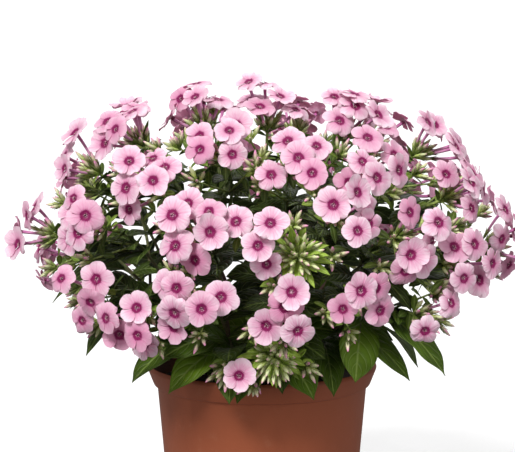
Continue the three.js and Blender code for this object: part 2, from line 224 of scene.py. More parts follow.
surround = bpy.data.worlds.new("surround")
surround.use_nodes = True
surround.node_tree.nodes.clear()
wires = Wire(surround.node_tree)
seen = wires.node("LightPath", {}, {})
strength = SURROUND_LIGHT + (SURROUND_SEEN - SURROUND_LIGHT) * seen
white = wires.node("Background", {}, {"Color": WHITE, "Strength": strength})
wires.node("OutputWorld", {}, {"Surface": white})
bpy.context.scene.world = surround
for name, source, width, power in SOFT_LIGHTS:
    lamp = bpy.data.lights.new(name, "SUN")
    lamp.angle = math.radians(width)
    lamp.energy = power
    light = bpy.data.objects.new(name, lamp)
    light.location = source
    light.rotation_euler = (-Vector(source)).to_track_quat("-Z", "Y").to_euler()
    bpy.context.scene.collection.objects.link(light)


# ---- Pot ----
# A thin-walled nursery pot, moulded in one piece from brown satin polypropylene.
# A flared band stiffens its mouth, its edges are rounded by the mould, and its base has five holes.
POT_H = 140
RIM_R = 85
RIM_H = 16
RIM_T = 2.6
BODY_TOP_R = 77.5
BASE_R = 66.5
WALL = 2
BAND_STEP = 0.5
BAND_TOP = 3
MOUTH_DROP = 1.2
POT_STEPS = 96
# Edges that turn by more than the first are rounded. Past the second, an edge shades as a crease.
ROUNDED_TURN = 0.3
CREASE_TURN = math.radians(40)
EDGE_ROUND = 0.7
EDGE_STEPS = 3
DRAIN_HOLES = 5
DRAIN_R = 5
DRAIN_RING_R = 42
DRAIN_SIDES = 24
POT_BROWN = (0.34, 0.092, 0.042)
POT_BROWN_DARK = (0.29, 0.078, 0.035)
POT_DUST = (0.4, 0.16, 0.09)


def at_turn(radius, turn, height=0):
    """A place at a distance from the Z axis, turned about it."""
    return radius * math.cos(turn), radius * math.sin(turn), height


def turned(profile, steps):
    """A closed solid of revolution about the Z axis, from a profile that starts and ends on it."""
    bm = bmesh.new()
    verts = [bm.verts.new((radius, 0, height)) for radius, height in profile]
    edges = [bm.edges.new(pair) for pair in zip(verts, verts[1:])]
    bmesh.ops.spin(bm, geom=verts + edges, cent=(0, 0, 0), axis=(0, 0, 1), angle=2 * math.pi,
                   steps=steps, use_merge=True)
    bmesh.ops.remove_doubles(bm, verts=bm.verts, dist=0.01)
    bmesh.ops.recalc_face_normals(bm, faces=bm.faces)
    return bm


def pot_surface(wires):
    place = wires.place()
    cloud = wires.noise(place, 16, 3)
    speck = wires.noise(place, 420)
    scuff = wires.noise(place, 55, 4, 0.65)
    brown = cloud.blend(POT_BROWN_DARK, POT_BROWN)
    brown = (scuff.rise(0.58, 0.8) * 0.35).blend(brown, POT_DUST)
    normal = wires.bump(speck * 0.6 + scuff * 0.4, 0.00018, 0.6)
    return wires.skin(brown, 0.42 + 0.14 * scuff, normal, {"Specular IOR Level": 0.25})


band_z = POT_H - RIM_H
pot_bm = turned([
    (0, 0),
    (BASE_R, 0),
    (BODY_TOP_R, band_z),
    (BODY_TOP_R + RIM_T, band_z + BAND_STEP),
    (RIM_R, POT_H - BAND_TOP),
    (RIM_R - RIM_T / 2, POT_H),
    (RIM_R - RIM_T, POT_H - MOUTH_DROP),
    (BODY_TOP_R - WALL, band_z - WALL),
    (BASE_R - WALL, WALL),
    (0, WALL),
], POT_STEPS)
corners = [edge for edge in pot_bm.edges if edge.is_manifold and edge.calc_face_angle() > ROUNDED_TURN]
bmesh.ops.bevel(pot_bm, geom=corners, offset=EDGE_ROUND, affect="EDGES", segments=EDGE_STEPS,
                profile=0.5, material=-1, clamp_overlap=True)
drills_bm = bmesh.new()
for i in range(DRAIN_HOLES):
    where = Matrix.Translation(at_turn(DRAIN_RING_R, 2 * math.pi * i / DRAIN_HOLES))
    bmesh.ops.create_cone(drills_bm, cap_ends=True, segments=DRAIN_SIDES, radius1=DRAIN_R,
                          radius2=DRAIN_R, depth=4 * WALL, matrix=where)
drills = new_object("drills", drills_bm)
pot = new_object("pot_shell", pot_bm, [material_of("brown satin plastic", pot_surface)])
cut = pot.modifiers.new("drain_holes", "BOOLEAN")
cut.operation = "DIFFERENCE"
cut.object = drills
cut.solver = "EXACT"
bpy.context.view_layer.update()
whole = bpy.data.meshes.new_from_object(pot.evaluated_get(bpy.context.evaluated_depsgraph_get()))
pot.modifiers.remove(cut)
pot.data = whole
bpy.data.objects.remove(drills)
pot.data.set_sharp_from_angle(angle=CREASE_TURN)
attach(pot, "root")
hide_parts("pot")


# ---- Soil ----
# Peat compost, heaped a little in the middle, with bark crumbs and white perlite pressed into it.
# It fills the pot to a little under its rim, and the stems are rooted in it.
SOIL_Z = 129
SOIL_DIP = 3
SOIL_STEPS = 80
SOIL_RINGS = 26
SOIL_GAP = 0.3
# How high lumps and grit stand, and how wide they are. The soil is even where it meets the pot.
SOIL_LUMP = (1.5, 11)
SOIL_GRIT = (0.9, 3.1)
SOIL_EVEN = 0.985
LUMP_FADE = 8
CRUMBS = 90
CRUMBS_REACH = 0.94
CRUMB_SIZES = (1.0, 2.6)
CRUMB_BREADTHS = (0.5, 0.9)
CRUMB_HEIGHTS = (0.4, 0.8)
CRUMB_LEANS = (-0.7, 0.7)
CRUMB_RISE = 0.15
PERLITE_SHARE = 0.25
SOIL_DARK = (0.018, 0.011, 0.007)
SOIL_BROWN = (0.06, 0.036, 0.022)
BARK = (0.085, 0.045, 0.024)
PERLITE = (0.72, 0.69, 0.62)
PERLITE_GREY = (0.5, 0.47, 0.4)


def paint(faces, material):
    """Faces take one of their piece's materials, by its number."""
    for face in faces:
        face.material_index = material


def faces_round(verts):
    """The faces that touch some points, each once, in a steady order."""
    return list(dict.fromkeys(face for vert in verts if vert.is_valid for face in vert.link_faces))


def soil_surface(wires):
    place = wires.place()
    cloud = wires.noise(place, 90, 4, 0.6)
    grit = wires.noise(place, 520, 3, 0.7)
    mix = cloud.rise(0.35, 0.7) * 0.6 + grit.rise(0.45, 0.75) * 0.4
    normal = wires.bump(grit + cloud, 0.0012, 0.9)
    return wires.skin(mix.blend(SOIL_DARK, SOIL_BROWN), 0.82 + 0.15 * grit, normal)


def crumb_surface(base, pale):
    def surface(wires):
        grain = wires.noise(wires.place(), 700)
        normal = wires.bump(grain, 0.0003, 0.8)
        return wires.skin(grain.blend(base, pale), 0.75 + 0.2 * grain, normal)
    return surface


soil_foot_r = BASE_R - WALL - 2 * SOIL_GAP
soil_r = BODY_TOP_R - WALL - SOIL_GAP
profile = [(0, WALL + SOIL_GAP), (soil_foot_r, WALL + SOIL_GAP), (soil_r, SOIL_Z - SOIL_DIP)]
for i in range(1, SOIL_RINGS + 1):
    share = 1 - i / SOIL_RINGS
    profile.append((soil_r * share, SOIL_Z - SOIL_DIP * share * share))
soil_bm = turned(profile, SOIL_STEPS)
for vert in soil_bm.verts:
    reach = math.hypot(vert.co.x, vert.co.y) / soil_r
    if vert.co.z > SOIL_Z - SOIL_DIP - 1 and reach < SOIL_EVEN:
        lump = sum(high * noise.noise(vert.co / wide) for high, wide in (SOIL_LUMP, SOIL_GRIT))
        vert.co.z += lump * min(1, LUMP_FADE * (1 - reach))
crumb_draws = random.Random(11)
for i in range(CRUMBS):
    reach = CRUMBS_REACH * soil_r * math.sqrt(crumb_draws.random())
    turn = 2 * math.pi * crumb_draws.random()
    size = crumb_draws.uniform(*CRUMB_SIZES)
    height = SOIL_Z - SOIL_DIP * (reach / soil_r) ** 2 + CRUMB_RISE * size
    breadth = size * crumb_draws.uniform(*CRUMB_BREADTHS)
    thickness = size * crumb_draws.uniform(*CRUMB_HEIGHTS)
    yaw = Matrix.Rotation(crumb_draws.uniform(0, 6), 4, "Z")
    lean = Matrix.Rotation(crumb_draws.uniform(*CRUMB_LEANS), 4, "X")
    where = Matrix.Translation(at_turn(reach, turn, height)) @ yaw @ lean
    where = where @ Matrix.Diagonal((size, breadth, thickness, 1))
    crumb = bmesh.ops.create_icosphere(soil_bm, subdivisions=1, radius=1, matrix=where)["verts"]
    paint(faces_round(crumb), 2 if crumb_draws.random() < PERLITE_SHARE else 1)
soil = new_object("compost", soil_bm, [
    material_of("peat compost", soil_surface),
    material_of("bark crumb", crumb_surface(SOIL_DARK, BARK)),
    material_of("perlite", crumb_surface(PERLITE_GREY, PERLITE)),
])
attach(soil, "root")
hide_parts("soil")


# ---- The way the plant grows ----
# Each stem leaves the soil, forks, and carries a domed head of flowers and buds on every branch.
# Flowers, buds and leaves take the first place that is free, so that none grows through another.
# Each stem lists its heads: the middle of the head (x, y, z), its open flowers and its tall buds.
STEMS = [
    [(-152, -12, 236, 4, 2), (-122, 2, 281, 4, 2), (-139, 46, 208, 5, 0)],
    [(-112, -88, 252, 5, 2), (-112, -90, 206, 4, 4), (-80, -118, 198, 5, 1), (-72, -100, 278, 6, 1)],
    [(-88, -28, 305, 5, 2), (-42, -14, 315, 5, 2), (-90, 42, 298, 5, 0), (-26, -84, 299, 5, 2)],
    [(-42, -138, 252, 6, 0), (-44, -142, 210, 6, 1), (-24, -108, 157, 1, 4)],
    [(4, 2, 314, 6, 3), (58, -16, 309, 6, 3), (26, 94, 299, 6, 0)],
    [(20, -100, 293, 5, 2), (70, -86, 289, 7, 2), (50, -130, 262, 5, 1)],
    [(-2, -146, 252, 4, 0), (24, -148, 240, 0, 14), (14, -146, 206, 4, 1), (8, -122, 166, 0, 14)],
    [(92, -112, 248, 6, 1), (64, -132, 210, 4, 1), (108, -98, 192, 2, 4)],
    [(112, -14, 296, 6, 1), (130, -56, 268, 6, 2), (140, 34, 258, 5, 0)],
    [(128, -88, 226, 5, 2), (164, -16, 228, 6, 1), (131, 64, 208, 5, 0)],
    [(106, 96, 256, 5, 1), (85, 118, 206, 5, 0), (80, 54, 298, 6, 1)],
    [(56, 133, 254, 5, 1), (22, 145, 208, 5, 0), (-12, 140, 258, 5, 1)],
    [(-76, 121, 254, 5, 1), (-48, 140, 206, 5, 0), (-40, 88, 299, 6, 1)],
    [(-124, 74, 258, 5, 1), (-106, 104, 208, 5, 0)],
]
# The large leaves that hang out over the rim: stem, run (0 is its trunk, then its branches in order),
# share of the run, the leaf's tip (x, y, z), how far it arches over the straight line, and its width.
SKIRT = [
    (7, 3, 0.6, (128, -94, 148), 6, 22),
    (7, 0, 0.95, (104, -82, 142), 8, 19),
    (7, 3, 0.3, (56, -104, 146), 3, 21),
    (7, 0, 0.7, (50, -98, 134), 8, 17),
    (7, 1, 0.5, (104, -98, 194), 6, 14),
    (1, 0, 0.7, (-92, -78, 140), 6, 22),
    (3, 0, 0.75, (-66, -88, 134), 8, 20),
    (3, 0, 0.95, (-70, -92, 160), 5, 19),
    (1, 2, 0.5, (-124, -82, 160), 8, 20),
    (1, 2, 0.35, (-116, -46, 184), 8, 18),
    (3, 0, 0.85, (-42, -108, 132), 5, 17),
    (6, 0, 0.75, (36, -108, 134), 6, 21),
    (6, 0, 0.95, (44, -106, 162), 3, 18),
    (6, 0, 0.7, (-8, -108, 130), 8, 18),
    (6, 0, 0.85, (14, -112, 130), 5, 17),
    (9, 0, 0.8, (112, -54, 146), 8, 20),
    (9, 1, 0.6, (160, -66, 206), 6, 16),
    (1, 1, 0.6, (-148, -72, 196), 10, 14),
    (0, 1, 0.5, (-134, -44, 206), 8, 15),
    (0, 0, 0.85, (-112, -30, 158), 8, 20),
]
# The other leaves of every stem: on its trunk (0) or on its first branches (1), share of that run,
# turns in degrees from the way outwards, rise to the tip, length, arch and width.
LEAFY_BRANCHES = 3
LEAF_SITES = [
    (0, 0.35, (50, -50), 6, 50, 6, 20),
    (0, 0.8, (40, -60), -4, 46, 5, 20),
    (1, 0.55, (10,), -2, 38, 4, 17),
]
# A stem forks on the way from its foot to its heads, and each branch bends round to its head's axis.
STEM_R = 1.8
BRANCH_R = 1.5
FOOT_SPREAD = 64
FORK_SHARE = 0.5
FORK_LIFT = 8
TRUNK_UPRIGHT = 0.55
BRANCH_START = 0.95
NECK_BEND = 0.4
ROD_STEPS = 2
# A head leans to the front, and its flowers stand on a dome and turn to its axis and to the light.
HEAD_LEAN = 28
HEADS_FACE_FROM_Z = 205
RACHIS = 17
HEAD_R = 42
HEAD_RISE = 27
FLOWER_R = 12.4
FLOWER_TRIES = 44
FLOWER_LIFTS = (0, 5, -5, 9, -9)
FLOWER_ROOTS = 0.6
FIRST_PLACES = 6
FACE = 1.1
TO_LIGHT = 0.45
LIGHT_DEPTH = 150
BUD_REACH = 21
BUD_SPREAD = math.radians(100)
BUD_ROOTS = 0.5
# A leaf folds up along its midrib and rolls outwards, and tries these turns and raises in order.
# A lower first power moves its widest place towards its foot, and a lower second makes it fuller.
LEAF_POWERS = (0.8, 0.85)
LEAF_FOLD = 0.16
LEAF_ROLL = 1.1
LEAF_TURNS = (0, 15, -15, 30, -30, 45, -45, 60, -60)
LEAF_RAISES = (0, 9)
LEAF_STRAY = 50
# Room that is kept free: discs for flowers and strings of beads for the rest.
# A string has a start and an end share of its run, and its beads have a spacing and a radius.
DISC_SAMPLES = 20
DISC_GAP = 2
DISC_EDGE_R = 1
BEAD_GAP = 0.9
BEAD_REACH = 2.5
POT_GAP = 1
ROD_BEADS = 24
BRANCH_BEADS_START = 0.05
TUBE_BEADS = (0.45, 0.86, 4, 1.1)
BUD_BEADS_START = 0.6
BUD_BEADS_END = 0.97
BUD_BEAD_SPACING = 3
BUD_BEAD_R = 1.3
LEAF_ROWS = 10
LEAF_LANES = (-1, -0.5, 0, 0.5, 1)
LEAF_BEAD_R = 1.9
DRAW_FACTOR = 1664525
DRAW_STEP = 1013904223
DRAW_SPAN = 2 ** 32
GOLDEN = math.pi * (3 - math.sqrt(5))
UP = np.array((0.0, 0.0, 1.0))
FRONT = np.array((0.0, -1.0, 0.0))


def unit(vector):
    return vector / math.sqrt(vector @ vector)


def cross(a, b):
    return np.array((a[1] * b[2] - a[2] * b[1], a[2] * b[0] - a[0] * b[2], a[0] * b[1] - a[1] * b[0]))


def lerp(a, b, share):
    return a + (b - a) * share


def frame_of(axis):
    """Two directions that make a right-handed frame with a third."""
    across = cross(UP, axis)
    if math.sqrt(across @ across) < 0.01:
        across = np.array((1.0, 0.0, 0.0))
    across = unit(across)
    return across, cross(axis, across)


def beside(centre, u, v, radius, turn):
    return centre + u * (radius * math.cos(turn)) + v * (radius * math.sin(turn))


def turned_about_up(vector, turn):
    c, s = math.cos(turn), math.sin(turn)
    return np.array((c * vector[0] - s * vector[1], s * vector[0] + c * vector[1], vector[2]))


def along_bend(bend, t):
    """A place on a bend, which is one quadratic curve."""
    return (1 - t) * (1 - t) * bend[0] + 2 * (1 - t) * t * bend[1] + t * t * bend[2]


def slope_of(bend, t):
    return unit(lerp(bend[1] - bend[0], bend[2] - bend[1], t))


def on_rod(bend, share):
    step = min(math.floor(share * ROD_STEPS), ROD_STEPS - 1)
    a, b = along_bend(bend, step / ROD_STEPS), along_bend(bend, (step + 1) / ROD_STEPS)
    return lerp(a, b, share * ROD_STEPS - step)


draw_state = 7


def draw():
    """Repeatable draws from 0 to 1."""
    global draw_state
    draw_state = (draw_state * DRAW_FACTOR + DRAW_STEP) % DRAW_SPAN
    return draw_state / DRAW_SPAN


class Grown:
    """What has grown so far: flowers as flat discs, everything else as strings of beads."""

    def __init__(self):
        self.beads = np.empty((0, 4))
        self.discs = np.empty((0, 6))
        self.edges = np.empty((0, DISC_SAMPLES, 3))

    def add(self, string):
        self.beads = np.vstack((self.beads, string))

    def add_disc(self, centre, normal, edge):
        self.discs = np.vstack((self.discs, np.concatenate((centre, normal))))
        self.edges = np.concatenate((self.edges, edge[None]))


grown = Grown()


def gap_to_disc(points, centres, normals):
    from_middle = points - centres
    height = (from_middle * normals).sum(-1)
    radial = np.sqrt(np.maximum(0, (from_middle * from_middle).sum(-1) - height * height))
    return np.hypot(height, np.maximum(0, radial - FLOWER_R))


def disc_edge(centre, normal):
    u, v = frame_of(normal)
    turns = [2 * math.pi * i / DISC_SAMPLES for i in range(DISC_SAMPLES)]
    return np.array([beside(centre, u, v, FLOWER_R, turn) for turn in turns])


def is_in_pot(points, radius):
    r = np.hypot(points[:, 0], points[:, 1])
    low = points[:, 2] - radius
    over_soil = (r + radius < BODY_TOP_R + RIM_T) & (low > SOIL_Z + POT_GAP)
    return (~over_soil & (r - radius < RIM_R + POT_GAP) & (low < POT_H + POT_GAP)).any()


def near_box(rows, low, high, reach):
    """Which rows start with a place inside a box, or within reach of it."""
    return ((rows[:, :3] > low - reach) & (rows[:, :3] < high + reach)).all(1)


def is_string_clear(string):
    at, radius = string[:, :3], string[:, 3]
    if is_in_pot(at, radius):
        return False
    low, high = at.min(0), at.max(0)
    beads = grown.beads[near_box(grown.beads, low, high, 2 * BEAD_REACH)]
    apart = np.sqrt(((at[:, None] - beads[None, :, :3]) ** 2).sum(-1))
    if (apart < radius[:, None] + beads[None, :, 3]).any():
        return False
    discs = grown.discs[near_box(grown.discs, low, high, FLOWER_R + BEAD_GAP + BEAD_REACH)]
    gaps = gap_to_disc(at[:, None], discs[None, :, :3], discs[None, :, 3:])
    return not (gaps < radius[:, None] + BEAD_GAP).any()


def is_disc_clear(centre, normal, edge):
    if is_in_pot(edge, DISC_EDGE_R):
        return False
    gaps = gap_to_disc(grown.beads[:, :3], centre, normal)
    if (gaps < grown.beads[:, 3] + BEAD_GAP).any():
        return False
    apart = np.sqrt(((grown.discs[:, :3] - centre) ** 2).sum(-1))
    near = apart <= 2 * FLOWER_R + DISC_GAP
    others, edges = grown.discs[near], grown.edges[near]
    if (gap_to_disc(edge[None], others[:, None, :3], others[:, None, 3:]) < DISC_GAP).any():
        return False
    return not (gap_to_disc(edges, centre, normal) < DISC_GAP).any()


def string_along(a, b, start, end, spacing, radius):
    """Beads along a straight run, from one share of its length to another."""
    count = max(1, math.floor(math.sqrt((b - a) @ (b - a)) * (end - start) / spacing + 0.5))
    return np.array([(*lerp(a, b, start + (end - start) * i / count), radius) for i in range(count + 1)])


def lay_stem(rows):
    """A trunk from the soil to the fork, and a branch to each head. Heads turn a little to the light."""
    heads = []
    for x, y, z, flowers, buds in rows:
        hub = np.array((x, y, z), float)
        axis = unit(np.array((x, y - HEAD_LEAN, z - HEADS_FACE_FROM_Z), float))
        neck = hub - axis * RACHIS
        heads.append(SimpleNamespace(hub=hub, axis=axis, neck=neck, flowers=flowers, buds=buds))
    middle = sum(head.hub for head in heads) / len(heads)
    out = math.hypot(middle[0], middle[1])
    foot_r = FOOT_SPREAD * math.atan2(out, middle[2] - SOIL_Z) / (math.pi / 2)
    foot = np.array((middle[0] / out * foot_r, middle[1] / out * foot_r, SOIL_Z))
    fork = lerp(foot, middle, FORK_SHARE) + UP * FORK_LIFT
    trunk = (foot, foot + UP * TRUNK_UPRIGHT * (fork[2] - SOIL_Z), fork)
    start = on_rod(trunk, BRANCH_START)
    branches = []
    for head in heads:
        away = math.sqrt((head.neck - fork) @ (head.neck - fork))
        branches.append((start, head.neck - head.axis * NECK_BEND * away, head.neck))
    return SimpleNamespace(heads=heads, foot=foot, trunk=trunk, branches=branches, leaves=[])


def lay_rod(bend, start, radius):
    shares = [start + (1 - start) * i / ROD_BEADS for i in range(ROD_BEADS + 1)]
    grown.add(np.array([(*on_rod(bend, share), radius) for share in shares]))


def lay_flowers(head):
    """The flowers of one head, on a spiral over its dome, from near the top outwards."""
    u, v = frame_of(head.axis)
    spin = draw() * 2 * math.pi
    first = math.floor(draw() * FIRST_PLACES)
    light = TO_LIGHT * (1 - head.hub[1] / LIGHT_DEPTH) / 2
    head.placed = []
    for k in range(first, FLOWER_TRIES):
        if len(head.placed) >= head.flowers:
            break
        out = math.sqrt((k + 0.5) / FLOWER_TRIES)
        roll = spin + k * GOLDEN
        root = head.hub - head.axis * FLOWER_ROOTS * RACHIS * out
        for lift in FLOWER_LIFTS:
            rise = HEAD_RISE * (1 - out * out) + lift
            centre = beside(head.hub, u, v, HEAD_R * out, roll) + head.axis * rise
            normal = unit(unit(centre - root) + head.axis * FACE + FRONT * light)
            edge = disc_edge(centre, normal)
            tube = string_along(root, centre, *TUBE_BEADS)
            if is_string_clear(tube) and is_disc_clear(centre, normal, edge):
                grown.add(tube)
                grown.add_disc(centre, normal, edge)
                head.placed.append(SimpleNamespace(centre=centre, normal=normal, root=root, roll=roll))
                break


def lay_buds(head, buds, tries, reach, start, uneven=0):
    """Buds on a spiral too, between the flowers, with tips at an even or uneven reach."""
    u, v = frame_of(head.axis)
    spin = draw() * 2 * math.pi
    placed = []
    for k in range(tries):
        if len(placed) >= buds:
            break
        out = math.sqrt((k + 0.5) / tries)
        tilt = BUD_SPREAD * out
        away = reach if uneven == 0 else reach + uneven * draw()
        tip = beside(head.hub, u, v, away * math.sin(tilt), spin + k * GOLDEN)
        tip = tip + head.axis * away * math.cos(tilt)
        root = head.hub - head.axis * BUD_ROOTS * RACHIS * out
        string = string_along(root, tip, start, BUD_BEADS_END, BUD_BEAD_SPACING, BUD_BEAD_R)
        if is_string_clear(string):
            grown.add(string)
            placed.append(SimpleNamespace(root=root, tip=tip))
    return placed


def leaf_between(root, tip, arch, width):
    """A leaf that arches over the straight line from root to tip, with its face rolled outwards."""
    middle = lerp(root, tip, 0.5)
    outward = unit(np.array((middle[0], middle[1], 0)))
    side = unit(cross(UP, tip - root))
    side = side + UP * (-LEAF_ROLL * (side @ outward))
    return SimpleNamespace(bend=(root, middle + UP * 2 * arch, tip), side=side, width=width)


def leaf_half_width(leaf, t):
    widest, fuller = LEAF_POWERS
    return leaf.width / 2 * math.pow(math.sin(math.pi * math.pow(t, widest)), fuller)


def leaf_frame(leaf, t):
    along = slope_of(leaf.bend, t)
    across = unit(leaf.side - along * (leaf.side @ along))
    return across, cross(along, across)


def on_leaf(leaf, t, share):
    """A place on a leaf: a share along its midrib, and a share of its half width to either side."""
    across, upward = leaf_frame(leaf, t)
    half = share * leaf_half_width(leaf, t)
    return along_bend(leaf.bend, t) + across * half + upward * (LEAF_FOLD * abs(half))


def grow_leaf(leaves, leaf, bead_r):
    rows = range(2, LEAF_ROWS + 1)
    string = np.array([(*on_leaf(leaf, i / LEAF_ROWS, lane), bead_r) for i in rows for lane in LEAF_LANES])
    if not is_string_clear(string):
        return False
    grown.add(string)
    leaves.append(leaf)
    return True


def lay_leaf(leaves, run, share, tip, arch, width, bead_r=LEAF_BEAD_R):
    """A leaf tries its own place, then places turned a little to either side, and higher."""
    root = on_rod(run, share)
    for lift in LEAF_RAISES:
        for turn in LEAF_TURNS:
            way = turned_about_up(tip - root, math.radians(turn)) + UP * lift
            if grow_leaf(leaves, leaf_between(root, root + way, arch, width), bead_r):
                return


stems = [lay_stem(rows) for rows in STEMS]
heads = [head for stem in stems for head in stem.heads]
for stem in stems:
    lay_rod(stem.trunk, 0, STEM_R)
    for branch in stem.branches:
        lay_rod(branch, BRANCH_BEADS_START, BRANCH_R)
for number, run, share, tip, arch, width in SKIRT:
    stem = stems[number]
    bend = stem.branches[run - 1] if run else stem.trunk
    lay_leaf(stem.leaves, bend, share, np.array(tip, float), arch, width)
for head in heads:
    lay_flowers(head)
for head in heads:
    head.tall_buds = lay_buds(head, head.buds, 3 * head.buds + 12, BUD_REACH, BUD_BEADS_START)
for level, share, turns, rise, length, arch, width in LEAF_SITES:
    for stem in stems:
        for run in stem.branches[:LEAFY_BRANCHES] if level else [stem.trunk]:
            for turn in turns:
                spread = math.radians(turn + LEAF_STRAY * (draw() - 0.5))
                outward = unit(np.array((stem.trunk[2][0], stem.trunk[2][1], 0))) * length
                tip = on_rod(run, share) + turned_about_up(outward, spread) + UP * rise
                lay_leaf(stem.leaves, run, share, tip, arch, width)


# ---- Stems ----
# Wiry green stems, flushed purple low down, with a slight joint wherever a pair of leaves stands.
# Each trunk is rooted in the soil and forks into one branch for every head.
STEM_SIDES = 8
TRUNK_RINGS = 22
BRANCH_RINGS = 15
STEM_SINK = 10
STEM_TAPER = 0.78
SLENDER = 0.82
JOINT_SWELL = 0.35
# Joints stand where the leaves do, and each reaches this share of its run to either side.
TRUNK_JOINTS = ([site[1] for site in LEAF_SITES if site[0] == 0], 0.025)
BRANCH_JOINTS = ([site[1] for site in LEAF_SITES if site[0] == 1], 0.05)
# How far along its stem the two ends of a run lie: 0 is the soil and 1 is a head.
TRUNK_ALONG = (0, 0.55)
BRANCH_ALONG = (0.5, 1)
STEM_GREEN = (0.07, 0.095, 0.024)
STEM_PURPLE = (0.08, 0.032, 0.026)
STEM_PALE = (0.17, 0.24, 0.07)


def green_mesh(flat="blade"):
    """An empty mesh whose points know how far along they lie, their own tone, and front from back."""
    bm = bmesh.new()
    for name in ("along", "tone", "back"):
        bm.verts.layers.float.new(name)
    bm.loops.layers.uv.new(flat)
    return bm


def joined(parts, flat="blade"):
    """One mesh from all the small meshes of a piece."""
    bm = green_mesh(flat)
    for mesh in parts:
        bm.from_mesh(mesh)
        bpy.data.meshes.remove(mesh)
    return bm


def placed_at(point, u, v, normal, size=(1, 1, 1)):
    turn = Matrix((Vector(u), Vector(v), Vector(normal))).transposed().to_4x4()
    return Matrix.Translation(Vector(point)) @ turn @ Matrix.Diagonal((*size, 1))


def rod(parts, points, radii, sides, along=(0, 1), tone=0.5, twist=0.0, material=0, flat="blade"):
    """A closed rod through the points, with one ring at each, joins the parts of its piece."""
    bm = green_mesh(flat)
    layer, tones = bm.verts.layers.float["along"], bm.verts.layers.float["tone"]
    points = [Vector(point) for point in points]
    across, last, face = None, None, None
    for i, (point, radius) in enumerate(zip(points, radii)):
        way = (points[min(i + 1, len(points) - 1)] - points[max(i - 1, 0)]).normalized()
        across = (across - way * across.dot(way)).normalized() if across else way.orthogonal().normalized()
        place = placed_at(point, across, way.cross(across), way)
        place = place @ Matrix.Rotation(twist * i, 4, "Z") @ Matrix.Scale(radius, 4)
        if face is None:
            ring = bmesh.ops.create_circle(bm, cap_ends=True, segments=sides, radius=1, matrix=place)
            ring = ring["verts"]
            face = ring[0].link_faces[0]
        else:
            grown_on = bmesh.ops.extrude_face_region(bm, geom=[face])["geom"]
            if i > 1 and face.is_valid:
                bmesh.ops.delete(bm, geom=[face], context="FACES_ONLY")
            face = next(item for item in grown_on if isinstance(item, bmesh.types.BMFace))
            ring = list(face.verts)
            bmesh.ops.transform(bm, matrix=place @ last.inverted(), verts=ring)
        for vert in ring:
            vert[layer] = lerp(*along, i / (len(points) - 1))
            vert[tones] = tone
        last = place
    bmesh.ops.recalc_face_normals(bm, faces=bm.faces)
    paint(bm.faces, material)
    parts.append(mesh_of("rod", bm))


def even_shares(count):
    return [i / count for i in range(count + 1)]


def jointed(radius, shares, joints, reach):
    """Radii that taper along a run and swell at each joint."""
    radii = []
    for share in shares:
        swell = sum(math.exp(-((share - joint) / reach) ** 2) for joint in joints)
        taper = 1 - (1 - STEM_TAPER) * share
        radii.append(SLENDER * radius * taper * (1 + JOINT_SWELL * swell))
    return radii


def stem_surface(wires):
    place = wires.place()
    along = wires.attribute("along")
    streak = wires.noise(place, 260, 3)
    green = streak.blend(STEM_GREEN, STEM_PALE)
    colour = (along + 0.5 * streak).rise(0.6, 1.2).blend(STEM_PURPLE, green)
    return wires.skin(colour, 0.42 + 0.2 * streak, wires.bump(streak, 0.0003, 0.6))


stem_green = material_of("stem", stem_surface)
for number, stem in enumerate(stems, 1):
    parts = []
    shares = even_shares(TRUNK_RINGS)
    points = [stem.foot - UP * STEM_SINK] + [along_bend(stem.trunk, share) for share in shares]
    radii = [STEM_R] + jointed(STEM_R, shares, *TRUNK_JOINTS)
    rod(parts, points, radii, STEM_SIDES, TRUNK_ALONG)
    for branch in stem.branches:
        shares = even_shares(BRANCH_RINGS)
        points = [along_bend(branch, share) for share in shares]
        rod(parts, points, jointed(BRANCH_R, shares, *BRANCH_JOINTS), STEM_SIDES, BRANCH_ALONG)
    piece = new_object(f"stems_{number:02d}", joined(parts), [stem_green])
    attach(piece, "root")
    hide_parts(f"stem_{number:02d}")


# ---- Leaves ----
# Lance-shaped leaves, satin dark green above and paler below, each on its own short stalk.
# The midrib is a groove above and a ridge below, and the blade swells a little between its side veins.
# Smaller leaves crowd low on the trunks, hang just over the rim, and stand under the flowers.
BLADE_W = 20
BLADE_T = 0.36
SMALL_W = 13
SMALL_T = 0.252
# A blade is a grid of lanes and rows, with its rows closer at both ends. Small leaves have fewer.
BLADE_GRID = (8, 26)
SMALL_GRID = (4, 7)
BLADE_ENDS = 0.35
# The blade's width as a multiple of the leaf's, at shares of its length.
BLADE_WIDTHS = ([0, 0.05, 0.14, 0.28, 0.42, 0.56, 0.7, 0.82, 0.9, 0.96, 1],
                [0.08, 0.3, 0.82, 1.25, 1.42, 1.42, 1.24, 0.9, 0.52, 0.14, 0])
# Side veins arch towards the tip. The blade is quilted between them, and its edges wave.
GROOVE = 0.3
SIDE_VEINS = 7
VEIN_ARCH = (0.16, 0.2)
QUILT = 0.55
WAVE = 0.045
WAVES = (1.6, 2.8)
PHASES = (0, 6.3)
SIDE_PHASE = 1.5
BLADE_LEANS = (-0.6, 0.6)
# The stalk runs on as the ridge under the blade, in the colours of the upper half of a stem.
PETIOLE_R = 0.85
RIDGE_SIDES = 5
RIDGE_STEPS = 5
RIDGE_ENDS = (0.02, 0.75)
RIDGE_TAPER = 0.75
RIDGE_ALONG = (0.6, 1)
# Upper leaves: share of the branch, turn from the way outwards, rise, length, arch and width.
UPPER_SITES = [
    (0.25, 150, 6, 30, 4, 11),
    (0.4, -120, 2, 32, 4, 12),
    (0.58, 0, 2, 30, 4, 11),
    (0.72, 70, 0, 26, 3, 10),
    (0.74, -90, -2, 25, 3, 10),
    (0.9, 170, 3, 20, 2, 8),
    (0.93, 0, -5, 20, 2, 8),
]
UPPER_BEAD_R = 1.0
STALK_SPOTS = 40
SMALL_STRAY = 60
SMALL_RAISE = 10
